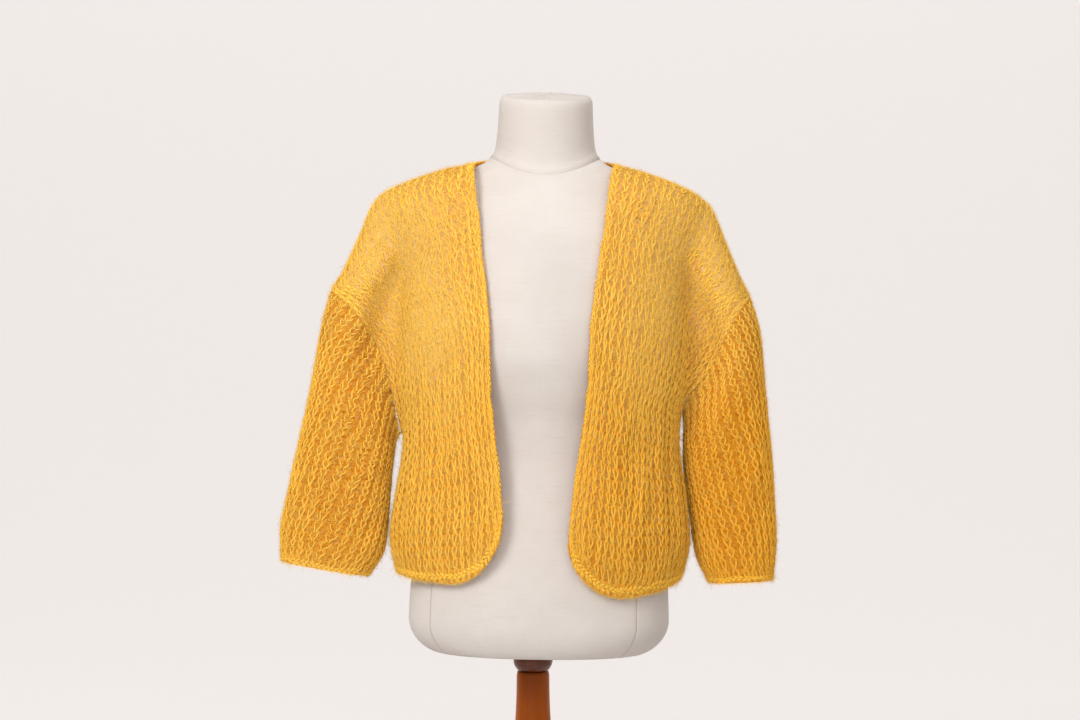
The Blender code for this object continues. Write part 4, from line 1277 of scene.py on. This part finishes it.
# The legs' and the bows' colours are lit and shaded copies of one yarn: painted light on the legs in front,
# painted shade on the bows behind. The fibres' colour is a painted highlight, and the shadow colour is
# painted shade.
shades = {
    "leg": "#FFD557",
    "bow": "#E08500",
    "cloud": "#FFBE26",
    "fibre": "#FFDE78",
    "haze": "#FFCB48",
    "bloom": "#F3AC1E",
    "bloomDeep": "#C97504",
    "shadow": "#C27000",
    "through": "#FFE2AC",  # linen that shows through stretched cloth, painted as lit: partly real see-through, partly painted light
}


def yarnFinish():
    # Mohair yarn: the legs in front are painted pale as lit and the bows behind them deeper as painted shade,
    # with fibres along the strand as a painted highlight.
    recipe = Recipe("mohair yarn")
    place = recipe.place()
    # Painted shade: a low painted lightness turns the yarn towards the bows' shaded colour and takes away the
    # painted highlight.
    pale = recipe.tune(recipe.carried("pale"), 0.0, 1.0, 0.55, 1.0)
    tuft = recipe.noise(place, 420.0, 3.0, 0.65)
    cloud = recipe.noise(place, 16.0, 3.0)
    fine = recipe.noise(recipe.drawn(recipe.lay(), (260.0, 3.0, 1.0)), 1.0, 3.0, 0.7)
    # Painted light and shade: the share forward picks the lit legs' colour or the bows' shaded one.
    front = recipe.tune(recipe.carried("front") + tuft * 0.5, 0.25, 1.15) * pale
    base = recipe.mix(front, paint(shades["bow"]), paint(shades["leg"]))
    base = recipe.mix(recipe.tune(cloud, 0.35, 0.7, 0.0, 0.25), base, paint(shades["cloud"]))
    # Painted highlight: fine streaks along the strand in the fibres' colour.
    base = recipe.mix(recipe.tune(fine, 0.5, 0.8, 0.0, 0.6) * pale, base, paint(shades["fibre"]))
    relief = recipe.bump(fine * 0.6 + tuft * 0.6, 0.0009, 0.6)
    return recipe.fluff(base, 0.12, 0.4, 0.06, Normal=relief, Roughness=0.85)


def bloomFinish():
    # Bloom: fine crossing fibres over a cloudy cover, whose density the piece carries.
    recipe = Recipe("mohair bloom")
    place = recipe.place()
    dense, stretch = recipe.carried("dense"), recipe.carried("stretch")
    haze = recipe.noise(place, 110.0, 4.0, 0.6)
    steep = recipe.noise(recipe.drawn(place, (1.0, 1.0, 0.3)), 900.0, 3.0, 0.7)
    level = recipe.noise(recipe.drawn(place, (0.3, 1.0, 1.0)), 900.0, 3.0, 0.7)
    thread = steep * 0.5 + level * 0.5
    fibres = recipe.tune(thread - dense * 0.3, 0.18, 0.5)
    base = recipe.mix(fibres, paint(shades["bloomDeep"]), paint(shades["bloom"]))
    # Painted light: where the cloth is stretched, the bloom is painted in the colour of lit linen seen
    # through it.
    base = recipe.mix(stretch * recipe.tune(haze, 0.2, 0.75, 0.35, 1.0), base, paint(shades["through"]))
    cover = recipe.tune(haze, 0.3, 0.7, -0.14, 0.16) + recipe.tune(thread, 0.38, 0.62, -0.2, 0.2)
    # Painted shade: where the piece's painted lightness is low, the bloom turns to the shadow colour.
    base = recipe.mix(recipe.carried("pale"), paint(shades["shadow"]), base)
    recipe.material.surface_render_method = "BLENDED"
    return recipe.fluff(base, 0.08, 0.5, 0.05, Alpha=cover + dense * 0.6 + 0.3, Roughness=0.9)


def veilFinish():
    # Hairs are the narrow lines along which a smooth noise passes its middle value, in three sizes.
    recipe = Recipe("mohair veil")
    place = recipe.place()
    cover, pale = 0.0, recipe.carried("pale")
    for scale, stretch in ((120.0, (1.0, 1.0, 0.6)), (170.0, (0.6, 1.0, 1.0)), (240.0, (1.0, 0.7, 0.8))):
        level = (recipe.noise(recipe.drawn(place, stretch, scale), scale, 1.5, 0.6) - 0.5).by("ABSOLUTE")
        cover = recipe.tune(level, 0.0, veil["line"], veil["hair"], 0.0) + cover
    cover = (cover + veil["cover"]) * recipe.carried("fade") + recipe.carried("cover")
    # Painted light and shade: the veil is painted in the brighter haze colour where the piece's painted
    # lightness is high and in the deeper cloud colour where it is low, with a painted highlight in the
    # fibres' colour.
    base = recipe.mix(pale, paint(shades["cloud"]), paint(shades["haze"]))
    base = recipe.mix(recipe.noise(place, 70.0, 2.0) * pale, base, paint(shades["fibre"]))
    recipe.material.surface_render_method = "BLENDED"
    return recipe.fluff(base, 0.1, 0.4, 0.06, Alpha=cover, Roughness=0.8)


def hairFinish():
    # Loose hairs, between the colours of the legs and of the fibres' painted highlight.
    recipe = Recipe("mohair hairs")
    base = recipe.mix(recipe.noise(recipe.place(), 60.0, 2.0), paint(shades["leg"]), paint(shades["fibre"]))
    return recipe.give(Base_Color=base, Roughness=0.6, Specular_IOR_Level=0.2)


strand, fill, haze, fluff = yarnFinish(), bloomFinish(), veilFinish(), hairFinish()
for name in stitches:
    panel = Panel(name)
    knit, edge, hairs, cover = makeYarn(panel), makePlait(panel), makeHairs(panel), makeBloom(panel)
    veils = [makeVeil(panel, label, *sheet) for label, sheet in zip(("veil_", "haze_"), veil["sheets"])]
    for piece, material in zip((knit, edge, hairs, *veils), (strand, strand, fluff, haze, haze)):
        dress(piece, material)
    dress(cover, fill, name)
